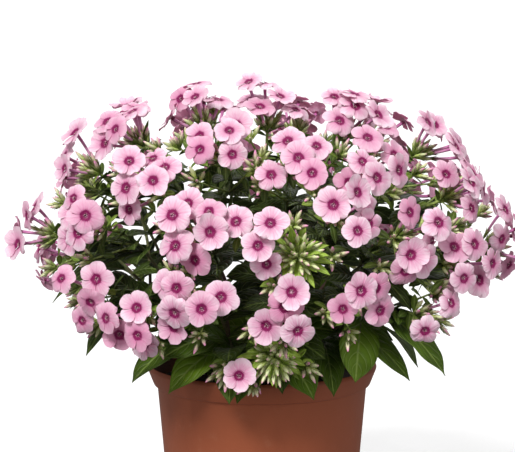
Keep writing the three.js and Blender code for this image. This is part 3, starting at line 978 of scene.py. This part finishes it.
# Leaves that reach just over the rim, all the way round.
RIM_LEAVES = 18
RIM_LEAF_RISE = 6
RIM_LEAF_STRAY = 12
RIM_LEAF_OUT = 5
RIM_LEAF_ROOTS = (0.08, 0.16)
RIM_LEAF_NEAR = 0.12
RIM_LEAF_ARCH = 7
RIM_LEAF_WIDTH = 14
# Lowest leaves: share of the trunk, turn from the way outwards, rise, length, arch and width.
LOWEST_SITES = [
    (0.03, 0, 14, 30, 6, 12),
    (0.05, 60, 12, 34, 5, 13),
    (0.07, -60, 12, 34, 5, 13),
    (0.09, 15, 14, 38, 6, 13),
    (0.11, 110, 8, 30, 5, 12),
    (0.13, -110, 8, 30, 5, 12),
    (0.16, 35, 10, 40, 6, 14),
    (0.19, -35, 10, 40, 6, 14),
    (0.22, 150, 8, 30, 4, 12),
    (0.28, 70, 4, 34, 5, 13),
    (0.34, -60, 4, 34, 5, 13),
]
# Leaves whose tips stay high up, in the shade of the flowers, draw darker tones than the low ones: painted
# shade on the high leaves and painted light on the low ones.
SHADE_Z = 192
PAINTED_SHADE_TONES = (0, 0.35)
PAINTED_LIGHT_TONES = (0.3, 1)
LEAF_DARK = (0.022, 0.032, 0.008)
LEAF_GREEN = (0.06, 0.125, 0.01)
LEAF_BRIGHT = (0.15, 0.25, 0.016)
LEAF_VEIN = (0.26, 0.36, 0.08)
LEAF_BACK = (0.07, 0.105, 0.026)
LEAF_GLOW = (0.1, 0.2, 0.004)


def leaf_surface(wires):
    place, blade = wires.place(), wires.flat("blade")
    across, along = abs(blade.part(0) * 2 - 1), blade.part(1)
    tone, back = wires.attribute("tone"), wires.attribute("back")
    patch = wires.noise(place, 75, 3, 0.6)
    fine = wires.noise(place, 900)
    arch = VEIN_ARCH[0] * across + VEIN_ARCH[1] * across * across
    ribs = abs(wires.maths("SINE", (along - arch) * (SIDE_VEINS * math.pi)))
    rib = (1 - ribs.rise(0.02, 0.32)) * (1 - across.rise(0.8, 1.0)) * along.rise(0.02, 0.12)
    swell = ribs.rise(0.0, 0.9)
    midrib = 1 - (across * (1.25 - along)).rise(0.012, 0.055)
    # Leaves differ in tone and in patches, and are paler on their veins, edges and backs. On high leaves the
    # tone is kept low as painted shade, which also dims their veins and bright patches.
    green = (tone * 0.7 + patch * 0.5).rise(0.3, 1.0).blend(LEAF_DARK, LEAF_GREEN)
    green = (tone.rise(0.76, 1.0) * (0.4 + 0.6 * patch)).blend(green, LEAF_BRIGHT)
    # Painted highlight: the swellings between the side veins are lighter, most on leaves of light tone.
    green = (swell * patch * tone * 0.8).blend(green, LEAF_BRIGHT)
    green = (rib * (0.3 + 0.45 * tone)).blend(green, LEAF_VEIN)
    green = (midrib * (0.45 + 0.5 * tone)).blend(green, LEAF_VEIN)
    green = (across.rise(0.93, 1.0) * 0.3).blend(green, LEAF_VEIN)
    green = (back.rise(0.3, 0.7) * 0.75).blend(green, LEAF_BACK)
    height = fine * 0.12 + patch * 0.2 + swell * 0.7 - midrib * 0.6
    normal = wires.bump(height, 0.0008, 0.8)
    roughness = 0.37 + 0.16 * patch + 0.2 * back
    skin = wires.skin(green, roughness, normal, {"Specular IOR Level": 0.19})
    return wires.thin(skin, LEAF_GLOW, normal, 0.16)


def make_leaf(parts, leaf, stalk, draws, tones, materials=(0, 1)):
    """A blade with a grooved midrib, and the ridge under it, which may start with a stalk."""
    bm = green_mesh()
    small = leaf.width < SMALL_W
    lanes, rows = SMALL_GRID if small else BLADE_GRID
    size = leaf.width / BLADE_W
    tone = draws.uniform(*tones)
    phase, waves = draws.uniform(*PHASES), draws.uniform(*WAVES)
    lean = draws.uniform(*BLADE_LEANS)
    grid = bmesh.ops.create_grid(bm, x_segments=lanes, y_segments=rows, size=1, calc_uvs=True)["verts"]
    for vert in grid:
        # s runs from -1 to 1 across the blade, and t from 0 at the stalk to 1 at the tip.
        s, row = -vert.co.x, (vert.co.y + 1) / 2
        t = row + BLADE_ENDS * (0.5 - 0.5 * math.cos(math.pi * row) - row)
        across, upward = leaf_frame(leaf, min(t, 0.999))
        half = leaf.width / 2 * float(np.interp(t, *BLADE_WIDTHS))
        side_phase = phase + (SIDE_PHASE if s > 0 else 0)
        wave = WAVE * leaf.width * s * s * math.sin(waves * 2 * math.pi * t + side_phase)
        lift = LEAF_FOLD * half * (1.25 * abs(s) - 0.35 * s * s)
        lift += (wave + lean * s * t * size) * half / (half + 2)
        lift -= GROOVE * size * max(0, 1 - 4 * abs(s)) * half / (half + 1)
        if not small:
            ribs = abs(math.sin((row - VEIN_ARCH[0] * abs(s) - VEIN_ARCH[1] * s * s) * SIDE_VEINS * math.pi))
            lift += QUILT * size * (ribs - 0.6) * (1 - s ** 4) * half / (half + 3)
        vert.co = Vector(along_bend(leaf.bend, t) + across * (s * half) + upward * lift)
    bmesh.ops.remove_doubles(bm, verts=grid, dist=0.02)
    layer, backs = bm.verts.layers.float["tone"], bm.verts.layers.float["back"]
    thickness = SMALL_T if small else BLADE_T
    shell = bmesh.ops.solidify(bm, geom=faces_round(grid), thickness=thickness)["geom"]
    for item in shell:
        if isinstance(item, bmesh.types.BMVert):
            item[backs] = 1
    for vert in bm.verts:
        vert[layer] = tone
    paint(bm.faces, materials[0])
    parts.append(mesh_of("blade", bm))
    ridge = list(stalk)
    radii = [PETIOLE_R * size] * len(ridge)
    for share in even_shares(RIDGE_STEPS):
        t = lerp(*RIDGE_ENDS, share)
        upward = leaf_frame(leaf, t)[1]
        ridge.append(along_bend(leaf.bend, t) - upward * (BLADE_T + GROOVE * 0.6) * size)
        radii.append(PETIOLE_R * size * (1 - RIDGE_TAPER * share))
    rod(parts, ridge, radii, RIDGE_SIDES, RIDGE_ALONG, tone, material=materials[1])


for stem in stems:
    stem.small_leaves = []
for i in range(RIM_LEAVES):
    turn = 2 * math.pi * (i + 0.5 * draw()) / RIM_LEAVES
    middle = UP * (POT_H + RIM_LEAF_RISE + RIM_LEAF_STRAY * draw())
    tip = beside(middle, FRONT, cross(UP, FRONT), RIM_R + RIM_LEAF_OUT, turn)
    stem = min(stems, key=lambda stem: ((on_rod(stem.trunk, RIM_LEAF_NEAR) - tip) ** 2).sum())
    share = lerp(*RIM_LEAF_ROOTS, draw())
    lay_leaf(stem.small_leaves, stem.trunk, share, tip, RIM_LEAF_ARCH, RIM_LEAF_WIDTH, UPPER_BEAD_R)
for stem in stems:
    for run in (stem.trunk, *stem.branches):
        sites = LOWEST_SITES if run is stem.trunk else UPPER_SITES
        for share, turn, rise, length, arch, width in sites:
            spread = math.radians(turn + SMALL_STRAY * (draw() - 0.5))
            outward = unit(np.array((run[2][0], run[2][1], 0))) * length
            raised = UP * (rise + SMALL_RAISE * (draw() - 0.5))
            tip = on_rod(run, share) + turned_about_up(outward, spread) + raised
            lay_leaf(stem.small_leaves, run, share, tip, arch, width, UPPER_BEAD_R)


def nearest_on(stem, point):
    """The place on the middle line of a stem that a leaf's foot stands closest to."""
    runs = (stem.trunk, *stem.branches)
    spots = [along_bend(run, share) for run in runs for share in even_shares(STALK_SPOTS)]
    return min(spots, key=lambda spot: ((spot - point) ** 2).sum())


leaf_draws = random.Random(5)
leaf_green = material_of("leaf", leaf_surface)
for number, stem in enumerate(stems, 1):
    parts = []
    for leaf in stem.leaves + stem.small_leaves:
        # Painted shade: a leaf with a high tip draws its tone from the darker range. Painted light: a low
        # leaf draws from the lighter range.
        tones = PAINTED_SHADE_TONES if leaf.bend[2][2] > SHADE_Z else PAINTED_LIGHT_TONES
        make_leaf(parts, leaf, [nearest_on(stem, leaf.bend[0])], leaf_draws, tones)
    piece = new_object(f"leaves_{number:02d}", joined(parts), [leaf_green, stem_green])
    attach(piece, "root")
    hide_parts(f"stem_{number:02d}")


# ---- Flowers ----
# Each flower is one thin corolla: a slender mauve tube that opens into five broad, pale pink petals.
# The petals overlap like a fan, and a magenta eye with a ragged rim surrounds the sunken throat.
PETALS = 5
PETAL_LANES = 4
PETAL_ROWS = 5
PETAL_T = 0.26
PETAL_R = 12.8
PETAL_EDGE = math.radians(50)
PETAL_TURN = 360 / PETALS
PETAL_FOOT_R = 1.0
PETAL_ROUND = 0.13
# Each petal draws its own length and breadth, and how it curls, cups, ruffles, notches and turns.
PETAL_LENGTHS = (0.89, 1.03)
PETAL_BREADTHS = (0.86, 1.07)
PETAL_CURLS = (-0.24, 1.76)
PETAL_CUPS = (-1.6, 1.0)
PETAL_BOWS = (0.7, 1.3)
PETAL_RUFFLES = (0.25, 1.0)
PETAL_NOTCHES = (-0.06, 0.09)
PETAL_YAWS = (-5.5, 5.5)
# A petal's half widths, at shares of its length.
PETAL_WIDTHS = ([0, 0.2, 0.4, 0.6, 0.8, 1], [0.8, 2.6, 4.8, 6.2, 6.2, 4.6])
PETAL_SINK = 1.2
PETAL_DOME = 0.25
PETAL_LAP = 0.75
# One kind of flower for each: how far its petals bow back, or forwards in a half-open one.
FLOWER_BOWS = (0, 0.6, -1.8, 0.2, 2.4, 0.3, -4.4, 1.2, -0.8, 0)
FLOWER_NOD = math.radians(9)
FLOWER_SIZES = (0.85, 1.06)
# The throat's profile, as (radius, height) in pairs.
THROAT = [(0, -3.2), (0.7, -3.0), (1.1, -1.0), (1.6, -1.2), (1.3, -3.4), (0, -3.6)]
THROAT_STEPS = 8
ANTHERS = 3
ANTHER_R = 0.32
ANTHERS_OUT = 0.75
ANTHER_STRAY = (-0.5, 0.5)
ANTHER_HEIGHTS = (-0.9, -0.3)
ANTHER_CREAM = (0.66, 0.47, 0.38)
TUBE_R = (1.3, 0.95)
TUBE_TOP = 2.6
TUBE_BEND = 0.35
TUBE_LENGTH = 21
TUBE_SHARE = 0.66
TUBE_STEPS = 4
TUBE_SIDES = 6
PETAL_PINK = (0.85, 0.53, 0.68)
PETAL_DEEP = (0.72, 0.27, 0.46)
PETAL_PALE = (0.97, 0.82, 0.895)
PETAL_BACK = (0.8, 0.45, 0.62)
PETAL_GLOW = (0.95, 0.46, 0.68)
EYE = (0.2, 0.004, 0.075)
EYE_RAY = (0.5, 0.03, 0.24)
THROAT_PALE = (0.8, 0.5, 0.6)
THROAT_DARK = (0.1, 0.008, 0.035)
TUBE_MAUVE = (0.5, 0.13, 0.34)
TUBE_PALE = (0.66, 0.3, 0.5)


def petal_surface(wires):
    place, flat = wires.place(), wires.flat("petal")
    x, y = flat.part(0), flat.part(1) - 0.5
    tone, back = wires.attribute("tone"), wires.attribute("back")
    cloud = wires.noise(place, 240, 3, 0.6)
    fine = wires.noise(place, 1500)
    speck = wires.noise(place, 1100, 1)
    # Streaks and veins fan out from the throat. aside is 0 on a petal's middle line, 1 at its edge.
    reach = wires.maths("SQRT", x * x + y * y)
    turn = wires.maths("ARCTAN2", y, x) * (1 / math.radians(PETAL_TURN / 2))
    aside = abs(turn)
    fan = {0: turn * 4.5 + cloud * 1.5, 1: reach * 1.3, 2: tone * 20 + cloud}
    streak = wires.noise(wires.node("CombineXYZ", {}, fan), 1.0, 2, 0.6)
    veins = abs(wires.maths("SINE", turn * 9 + cloud * 2.5))
    vein = (1 - veins.rise(0.05, 0.5)) * (1 - reach.rise(0.5, 1.0))
    # A petal is deepest near the eye and palest at its edge, and some flowers are deeper than others.
    pink = (reach + 0.25 * cloud).rise(0.25, 0.75).blend(PETAL_DEEP, PETAL_PINK)
    pink = ((reach + 0.2 * cloud).rise(0.6, 0.98) * 0.9).blend(pink, PETAL_PALE)
    pink = (aside.rise(0.7, 1.05) * reach.rise(0.4, 0.8) * 0.5).blend(pink, PETAL_PALE)
    pink = (streak.rise(0.5, 0.72) * 0.68).blend(pink, PETAL_PALE)
    pink = ((1 - streak.rise(0.26, 0.5)) * 0.52).blend(pink, PETAL_DEEP)
    pink = (tone ** 3 * 0.65).blend(pink, PETAL_DEEP)
    pink = (vein * 0.4).blend(pink, PETAL_DEEP)
    rim = reach - 0.02 * aside * aside - 0.08 * (1 - veins) + 0.06 * (streak - 0.5)
    pink = ((1 - rim.rise(0.24, 0.42)) * 0.35).blend(pink, EYE_RAY)
    eye = 1 - rim.rise(0.252, 0.287)
    pink = eye.blend(pink, EYE)
    pink = ((1 - reach.rise(0.12, 0.17)) * speck.rise(0.5, 0.62) * 0.6).blend(pink, THROAT_PALE)
    colour = (back.rise(0.3, 0.7) * 0.85).blend(pink, PETAL_BACK)
    normal = wires.bump(fine * 0.3 + cloud * 0.6 + streak * 1.2 + veins * 0.2, 0.0005, 0.7)
    fixed = {"Specular IOR Level": 0.2, "Sheen Weight": 0.06}
    skin = wires.skin(colour, 0.5 + 0.15 * cloud, normal, fixed)
    return wires.thin(skin, PETAL_GLOW, normal, 0.3 * (1 - eye))


def tube_surface(wires):
    streak = wires.noise(wires.place(), 500)
    mix = (wires.attribute("along") + 0.4 * streak).rise(0.2, 1.1)
    normal = wires.bump(streak, 0.0002, 0.5)
    return wires.skin(mix.blend(TUBE_MAUVE, TUBE_PALE), 0.5 + 0.15 * streak, normal)


def throat_surface(wires):
    grain = wires.noise(wires.place(), 1800)
    return wires.skin(grain.rise(0.4, 0.65).blend(THROAT_DARK, EYE), 0.55 + 0.2 * grain)


def anther_surface(wires):
    grain = wires.noise(wires.place(), 2500)
    return wires.skin(grain.blend(THROAT_PALE, ANTHER_CREAM), 0.6 + 0.2 * grain)


def make_flower(seed):
    """Five petals, each a little different, round a sunken throat. The flower faces up the Z axis."""
    draws = random.Random(seed)
    bm = green_mesh("petal")
    plane = bm.loops.layers.uv["petal"]
    back = bm.verts.layers.float["back"]
    for j in range(PETALS):
        length, breadth = draws.uniform(*PETAL_LENGTHS), draws.uniform(*PETAL_BREADTHS)
        curl, cup = draws.uniform(*PETAL_CURLS), draws.uniform(*PETAL_CUPS)
        bow = FLOWER_BOWS[seed] * draws.uniform(*PETAL_BOWS)
        ruffle, phase = draws.uniform(*PETAL_RUFFLES), draws.uniform(*PHASES)
        notch = max(0, draws.uniform(*PETAL_NOTCHES))
        turn = math.radians(PETAL_TURN * (j + 0.5) + draws.uniform(*PETAL_YAWS))
        grid = bmesh.ops.create_grid(bm, x_segments=PETAL_LANES, y_segments=PETAL_ROWS, size=1)["verts"]
        petal = faces_round(grid)
        for vert in grid:
            # s runs across the petal, and t from 0 at its foot to 1 at its end.
            s, t = vert.co.x * (1.2 - 0.2 * abs(vert.co.x)), (vert.co.y + 1) / 2
            end = PETAL_R * length * (1 - PETAL_ROUND * s * s - notch * max(0, 1 - 2 * abs(s)) * t * t)
            x = PETAL_FOOT_R + (end - PETAL_FOOT_R) * t
            y = s * breadth * float(np.interp(t, *PETAL_WIDTHS))
            z = PETAL_DOME * math.sin(math.pi * t) - PETAL_SINK * max(0, 1 - t / 0.3) ** 2
            z += PETAL_LAP * s * min(1, 2 * t) + cup * s * s * t - curl * t ** 3 - bow * t * t
            z += ruffle * math.sin(3.4 * s + phase) * t * t
            z += 0.5 * ruffle * math.sin(5 * t + 2 * phase) * abs(s)
            vert.co = (x, y, z)
        for face in petal:
            for loop in face.loops:
                loop[plane].uv = (loop.vert.co.x / PETAL_R, loop.vert.co.y / PETAL_R + 0.5)
        shell = bmesh.ops.solidify(bm, geom=petal, thickness=PETAL_T)["geom"]
        made = [item for item in shell if isinstance(item, bmesh.types.BMVert)]
        for vert in made:
            vert[back] = 1
        around = Matrix.Rotation(turn, 4, "Z")
        bmesh.ops.transform(bm, matrix=around, verts=list({*grid, *made}))
    bmesh.ops.recalc_face_normals(bm, faces=bm.faces)
    throat_bm = turned(THROAT, THROAT_STEPS)
    paint(throat_bm.faces, 2)
    for i in range(ANTHERS):
        turn = 2 * math.pi * i / ANTHERS + draws.uniform(*ANTHER_STRAY)
        where = Matrix.Translation(at_turn(ANTHERS_OUT, turn, draws.uniform(*ANTHER_HEIGHTS)))
        anther = bmesh.ops.create_icosphere(throat_bm, subdivisions=1, radius=ANTHER_R, matrix=where)
        paint(faces_round(anther["verts"]), 3)
    throat = mesh_of("throat", throat_bm)
    bm.from_mesh(throat)
    bpy.data.meshes.remove(throat)
    return mesh_of("flower", bm)


def stamp(parts, mesh, place, tone, material=None):
    """A copy of a small mesh, at its place and with its own tone."""
    copy = mesh.copy()
    copy.transform(place)
    copy.attributes["tone"].data.foreach_set("value", [tone] * len(copy.vertices))
    if material is not None:
        copy.polygons.foreach_set("material_index", [material] * len(copy.polygons))
    parts.append(copy)


def flower_bend(flower):
    """The middle line from the throat of a flower to its root, its length, and the tube's share."""
    top = flower.centre - flower.normal * TUBE_TOP
    away = math.sqrt((top - flower.root) @ (top - flower.root))
    straight, square = lerp(top, flower.root, TUBE_BEND), top - flower.normal * TUBE_BEND * away
    return (top, lerp(straight, square, 0.5), flower.root), away, min(TUBE_SHARE, TUBE_LENGTH / away)


flower_draws = random.Random(17)
flower_kinds = [make_flower(seed) for seed in range(len(FLOWER_BOWS))]
petal_pink = material_of("petal", petal_surface)
tube_mauve = material_of("flower tube", tube_surface)
throat_dark = material_of("throat", throat_surface)
anther_cream = material_of("anther", anther_surface)
flower_skins = [petal_pink, tube_mauve, throat_dark, anther_cream]
for number, head in enumerate(heads, 1):
    if not head.placed:
        continue
    parts = []
    for flower in head.placed:
        u, v = frame_of(flower.normal)
        right = beside(0, u, v, 1, flower.roll)
        tone = flower_draws.random()
        nod = Matrix.Rotation(FLOWER_NOD * flower_draws.gauss(0, 1), 4, "X")
        nod = nod @ Matrix.Rotation(FLOWER_NOD * flower_draws.gauss(0, 1), 4, "Y")
        nod = nod @ Matrix.Scale(flower_draws.uniform(*FLOWER_SIZES), 4)
        place = placed_at(flower.centre, right, cross(flower.normal, right), flower.normal) @ nod
        stamp(parts, flower_draws.choice(flower_kinds), place, tone)
        bend, _, tube_end = flower_bend(flower)
        points = [along_bend(bend, tube_end * share) for share in even_shares(TUBE_STEPS)]
        radii = [lerp(*TUBE_R, share) for share in even_shares(TUBE_STEPS)]
        rod(parts, points, radii, TUBE_SIDES, (0, 1), tone, material=1, flat="petal")
    piece = new_object(f"flowers_{number:02d}", joined(parts, "petal"), flower_skins)
    piece.data.set_sharp_from_angle(angle=PETAL_EDGE)
    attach(piece, "root")
    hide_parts(f"flower_head_{number:02d}")


# ---- Calyces, buds and the stalks of the heads ----
# A head's own stalk carries a thin pedicel for every flower and bud.
# Each pedicel ends in a ribbed green calyx with five sharp teeth, which holds the tube or the bud.
# Unopened buds are twisted to a point, green and white below and pink at the tip.
CALYX_SIDES = 10
CALYX_ALONG = (0, 0.7)
# Rings and the tips of the teeth are (radius, height) in pairs.
CALYX_RINGS = [(0.5, 0), (1.05, 1.6), (1.2, 4.2), (1.25, 5.2)]
CALYX_TEETH = (2.4, 9.6)
CALYX_MOUTH = 1
CALYX_LENGTH = 8.2
CALYX_BROAD = 1.05
CALYX_UNDER_BUD = 0.5
BUD_SHOWN = 0.6
TUBE_IN_CALYX = 3.0
PEDICEL_LEAST = 0.5
PEDICEL_IN_CALYX = (0.4, 0.3)
PEDICEL_R = 0.5
PEDICEL_ROOT_R = 0.6
PEDICEL_SIDES = 5
BUD_RINGS = [(0.7, 0), (1.25, 2.25), (1.4, 4.5), (1.05, 6.75), (0.5, 8.37), (0.12, 9)]
BUD_SIDES = 5
BUD_LENGTH = 9
BUD_TWIST = math.radians(22)
STALK_RADII = (0.5, 0.8, 1.0, 1.1, 1.15, 1.2, 1.2)
STALK_SIDES = 7
STALK_TIP = 4
STALK_FOOT = 0.5
# Pairs of values are for a head in flower and for a tight head that is still all in bud.
BRACTS = (6, 22)
BRACT_TILTS = (-25, 0)
BRACT_TILT_SPREAD = 60
BRACT_LENGTHS = (2.8, 4.4)
BRACT_LENGTH_SPREAD = 1.2
BRACT_WIDTHS = (4, 5)
BRACT_BREADTH = 0.85
BRACT_BREADTH_SPREAD = 0.3
BRACT_ROOT = 0.3
BRACT_ROOT_SPREAD = 0.6
BRACT_TONES = ((0, 0.5), (0.6, 1))
YOUNG_BUDS = (11, 26)
YOUNG_REACHES = ((12, 18), (10, 19))
YOUNG_BEADS_START = 0.55
BUD_BLUSH = (1, 0.4)
BRACT_ARCH = 1
BRACT_BEAD_R = 0.8
BRACT_GREEN = (0.055, 0.095, 0.012)
BRACT_PALE = (0.32, 0.47, 0.06)
# Side sprays: tries round each head, how many may grow, their buds, and how far out they stand.
SPRAY_TRIES = 14
SPRAYS = 2
SPRAY_BUDS = 7
SPRAY_ROOT = 0.72
SPRAY_OUT = 25
SPRAY_DROP = 2
SPRAY_ROOM = 4.5
SPRAY_BEADS = (0.25, 1, 3, 0.9)
SPRAY_REACH = (8, 14)
SPRAY_BUD_BEADS_START = 0.7
SPRAY_BRACTS = 5
SPRAY_BRACT_WIDTH = 3.6
SPRAY_RADII = (0.9, 0.8, 0.75, 0.7, 0.6)
SPRAY_SIDES = 6
CALYX_GREEN = (0.12, 0.17, 0.03)
CALYX_PALE = (0.52, 0.64, 0.18)
CALYX_PURPLE = (0.15, 0.045, 0.07)
BUD_WHITE = (0.68, 0.74, 0.4)
BUD_PINK = (0.78, 0.3, 0.52)
BUD_DEEP = (0.52, 0.08, 0.28)


def calyx_surface(wires):
    along, tone = wires.attribute("along"), wires.attribute("tone")
    streak = wires.noise(wires.place(), 600)
    green = (streak * 0.6 + (1 - tone) * 0.6).rise(0.45, 0.9).blend(CALYX_GREEN, CALYX_PALE)
    flush = (along + 0.3 * streak).rise(0.7, 1.15) * (0.35 + 0.5 * tone)
    normal = wires.bump(streak, 0.0002, 0.6)
    return wires.skin(flush.blend(green, CALYX_PURPLE), 0.45 + 0.2 * streak, normal)


def bud_surface(wires):
    along, tone = wires.attribute("along"), wires.attribute("tone")
    streak = wires.noise(wires.place(), 700)
    colour = (along + 0.25 * streak + 0.5 * tone).rise(0.7, 1.35).blend(BUD_WHITE, BUD_PINK)
    colour = ((along + 0.3 * streak).rise(0.95, 1.2) * 0.7 * tone).blend(colour, BUD_DEEP)
    return wires.skin(colour, 0.45 + 0.15 * streak, wires.bump(streak, 0.0002, 0.5))


def bract_surface(wires):
    across = abs(wires.flat("blade").part(0) * 2 - 1)
    tone = wires.attribute("tone")
    streak = wires.noise(wires.place(), 420, 3)
    midrib = 1 - across.rise(0.05, 0.3)
    colour = (streak * 0.4 + tone * 0.8).rise(0.25, 1.0).blend(BRACT_GREEN, BRACT_PALE)
    colour = (midrib * (0.1 + 0.4 * tone)).blend(colour, CALYX_PALE)
    normal = wires.bump(streak - midrib * 0.6, 0.0004, 0.7)
    return wires.skin(colour, 0.45 + 0.2 * streak, normal, {"Specular IOR Level": 0.3})


def upright(rings, sides, along=(0, 1), twist=0.0):
    """A rod up the Z axis through some rings, as a mesh of its own."""
    made = []
    radii = [radius for radius, _ in rings]
    rod(made, [(0, 0, height) for _, height in rings], radii, sides, along, twist=twist)
    return made[0]


calyx = upright(CALYX_RINGS, CALYX_SIDES, CALYX_ALONG)
calyx_bm = bmesh.new()
calyx_bm.from_mesh(calyx)
mouth = max(calyx_bm.faces, key=lambda face: face.calc_center_median().z)
for i, vert in enumerate(list(mouth.verts)):
    if i % 2:
        vert.co = (*(vert.co.xy.normalized() * CALYX_TEETH[0]), CALYX_TEETH[1])
        vert[calyx_bm.verts.layers.float["along"]] = 1
middle = bmesh.ops.poke(calyx_bm, faces=[mouth])["verts"][0]
middle.co.z = CALYX_RINGS[-1][1] - CALYX_MOUTH
calyx_bm.to_mesh(calyx)
calyx_bm.free()
bud = upright(BUD_RINGS, BUD_SIDES, twist=BUD_TWIST)
calyx_green = material_of("calyx", calyx_surface)
bud_pink = material_of("bud", bud_surface)
bract_green = material_of("bract", bract_surface)


def grow_bud(parts, root, tip, tone):
    """A pedicel, a calyx and a twisted bud, from root to tip."""
    way = tip - root
    away = math.sqrt(way @ way)
    way = way / away
    u, v = frame_of(way)
    size = min(1, away / (CALYX_LENGTH + BUD_SHOWN * BUD_LENGTH))
    bud_foot = tip - way * BUD_LENGTH * size
    calyx_foot = bud_foot - way * CALYX_UNDER_BUD * CALYX_LENGTH * size
    start = root if (calyx_foot - root) @ way > PEDICEL_LEAST else calyx_foot - way * PEDICEL_LEAST
    line = [start, lerp(start, calyx_foot, 0.5), calyx_foot + way * PEDICEL_IN_CALYX[1]]
    broad = size * CALYX_BROAD
    rod(parts, line, [PEDICEL_R] * 3, PEDICEL_SIDES, (0, 0.3), tone)
    stamp(parts, calyx, placed_at(calyx_foot, u, v, way, (broad, broad, size)), tone)
    stamp(parts, bud, placed_at(bud_foot, u, v, way, (size, size, size)), tone, material=1)


def lay_bracts(head, stalk, count, width, tight=False):
    """Narrow leaves that spread from a stalk. In a tight head they stand between the buds."""
    head.bracts = []
    u, v = frame_of(head.axis)
    for i in range(count):
        tilt = math.radians(BRACT_TILTS[tight] + BRACT_TILT_SPREAD * draw())
        out = beside(0, u, v, math.cos(tilt), i * GOLDEN) + head.axis * math.sin(tilt)
        share = BRACT_ROOT + BRACT_ROOT_SPREAD * draw()
        length = BRACT_LENGTHS[tight] + BRACT_LENGTH_SPREAD * draw()
        tip = on_rod(stalk, share) + out * width * length
        broad = width * (BRACT_BREADTH + BRACT_BREADTH_SPREAD * draw())
        if tight:
            head.bracts.append(leaf_between(on_rod(stalk, share), tip, BRACT_ARCH, broad))
        else:
            lay_leaf(head.bracts, stalk, share, tip, BRACT_ARCH, broad, BRACT_BEAD_R)


def lay_sprays(head, branch):
    """Short side stalks with a few small buds each, wherever there is room beside a head."""
    head.sprays = []
    u, v = frame_of(head.axis)
    root = on_rod(branch, SPRAY_ROOT)
    for k in range(SPRAY_TRIES):
        if len(head.sprays) >= SPRAYS:
            break
        hub = beside(head.hub, u, v, SPRAY_OUT, k * GOLDEN + head.hub[0]) - head.axis * SPRAY_DROP
        room = np.array([(*hub, SPRAY_ROOM)])
        string = string_along(root, hub, *SPRAY_BEADS)
        if is_string_clear(room) and is_string_clear(string):
            spray = SimpleNamespace(hub=hub, axis=unit(unit(hub - root) + head.axis), root=root)
            grown.add(string)
            near, far = SPRAY_REACH
            spray.buds = lay_buds(spray, SPRAY_BUDS, 3 * SPRAY_BUDS, near, SPRAY_BUD_BEADS_START,
                                  far - near)
            stalk = (root, lerp(root, hub, 0.5), hub)
            lay_bracts(spray, stalk, SPRAY_BRACTS, SPRAY_BRACT_WIDTH)
            head.sprays.append(spray)


bud_draws = random.Random(29)
for stem in stems:
    for head, branch in zip(stem.heads, stem.branches):
        stalk = (head.neck, lerp(head.neck, head.hub, 0.5), head.hub)
        tight = not head.placed
        lay_bracts(head, stalk, BRACTS[tight], BRACT_WIDTHS[tight], tight)
        lay_sprays(head, branch)
for number, head in enumerate(heads, 1):
    tight = not head.placed
    young = YOUNG_BUDS[tight]
    near, far = YOUNG_REACHES[tight]
    head.young_buds = lay_buds(head, young, 3 * young + 8, near, YOUNG_BEADS_START, far - near)
    parts = []
    tip = head.hub + head.axis * STALK_TIP
    foot = head.neck - head.axis * STALK_FOOT
    line = [lerp(tip, foot, share) for share in even_shares(len(STALK_RADII) - 1)]
    rod(parts, line, STALK_RADII, STALK_SIDES, (0.4, 0))
    for flower in head.placed:
        bend, away, tube_end = flower_bend(flower)
        tone = bud_draws.random()
        top = tube_end - TUBE_IN_CALYX / away
        foot = min(0.98, top + CALYX_LENGTH / away)
        start, end = along_bend(bend, foot), along_bend(bend, top)
        way = unit(end - start)
        u, v = frame_of(way)
        stamp(parts, calyx, placed_at(start, u, v, way), tone)
        line = [start + way * PEDICEL_IN_CALYX[0]]
        line += [along_bend(bend, lerp(foot, 1, i / 3)) for i in (1, 2, 3)]
        rod(parts, line, [PEDICEL_R] * 3 + [PEDICEL_ROOT_R], PEDICEL_SIDES, (0.3, 0), tone)
    for stalk in head.tall_buds + head.young_buds:
        grow_bud(parts, stalk.root, stalk.tip, bud_draws.random() * BUD_BLUSH[tight])
    for spray in head.sprays:
        line = [lerp(spray.root, spray.hub, share) for share in even_shares(len(SPRAY_RADII) - 1)]
        rod(parts, line, SPRAY_RADII, SPRAY_SIDES, (0, 0.4))
        for stalk in spray.buds:
            grow_bud(parts, stalk.root, stalk.tip, bud_draws.random())
    for leaf in head.bracts + [leaf for spray in head.sprays for leaf in spray.bracts]:
        make_leaf(parts, leaf, (), bud_draws, BRACT_TONES[tight], materials=(2, 2))
    piece = new_object(f"buds_{number:02d}", joined(parts), [calyx_green, bud_pink, bract_green])
    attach(piece, "root")
    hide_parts(f"{'bud' if tight else 'flower'}_head_{number:02d}")
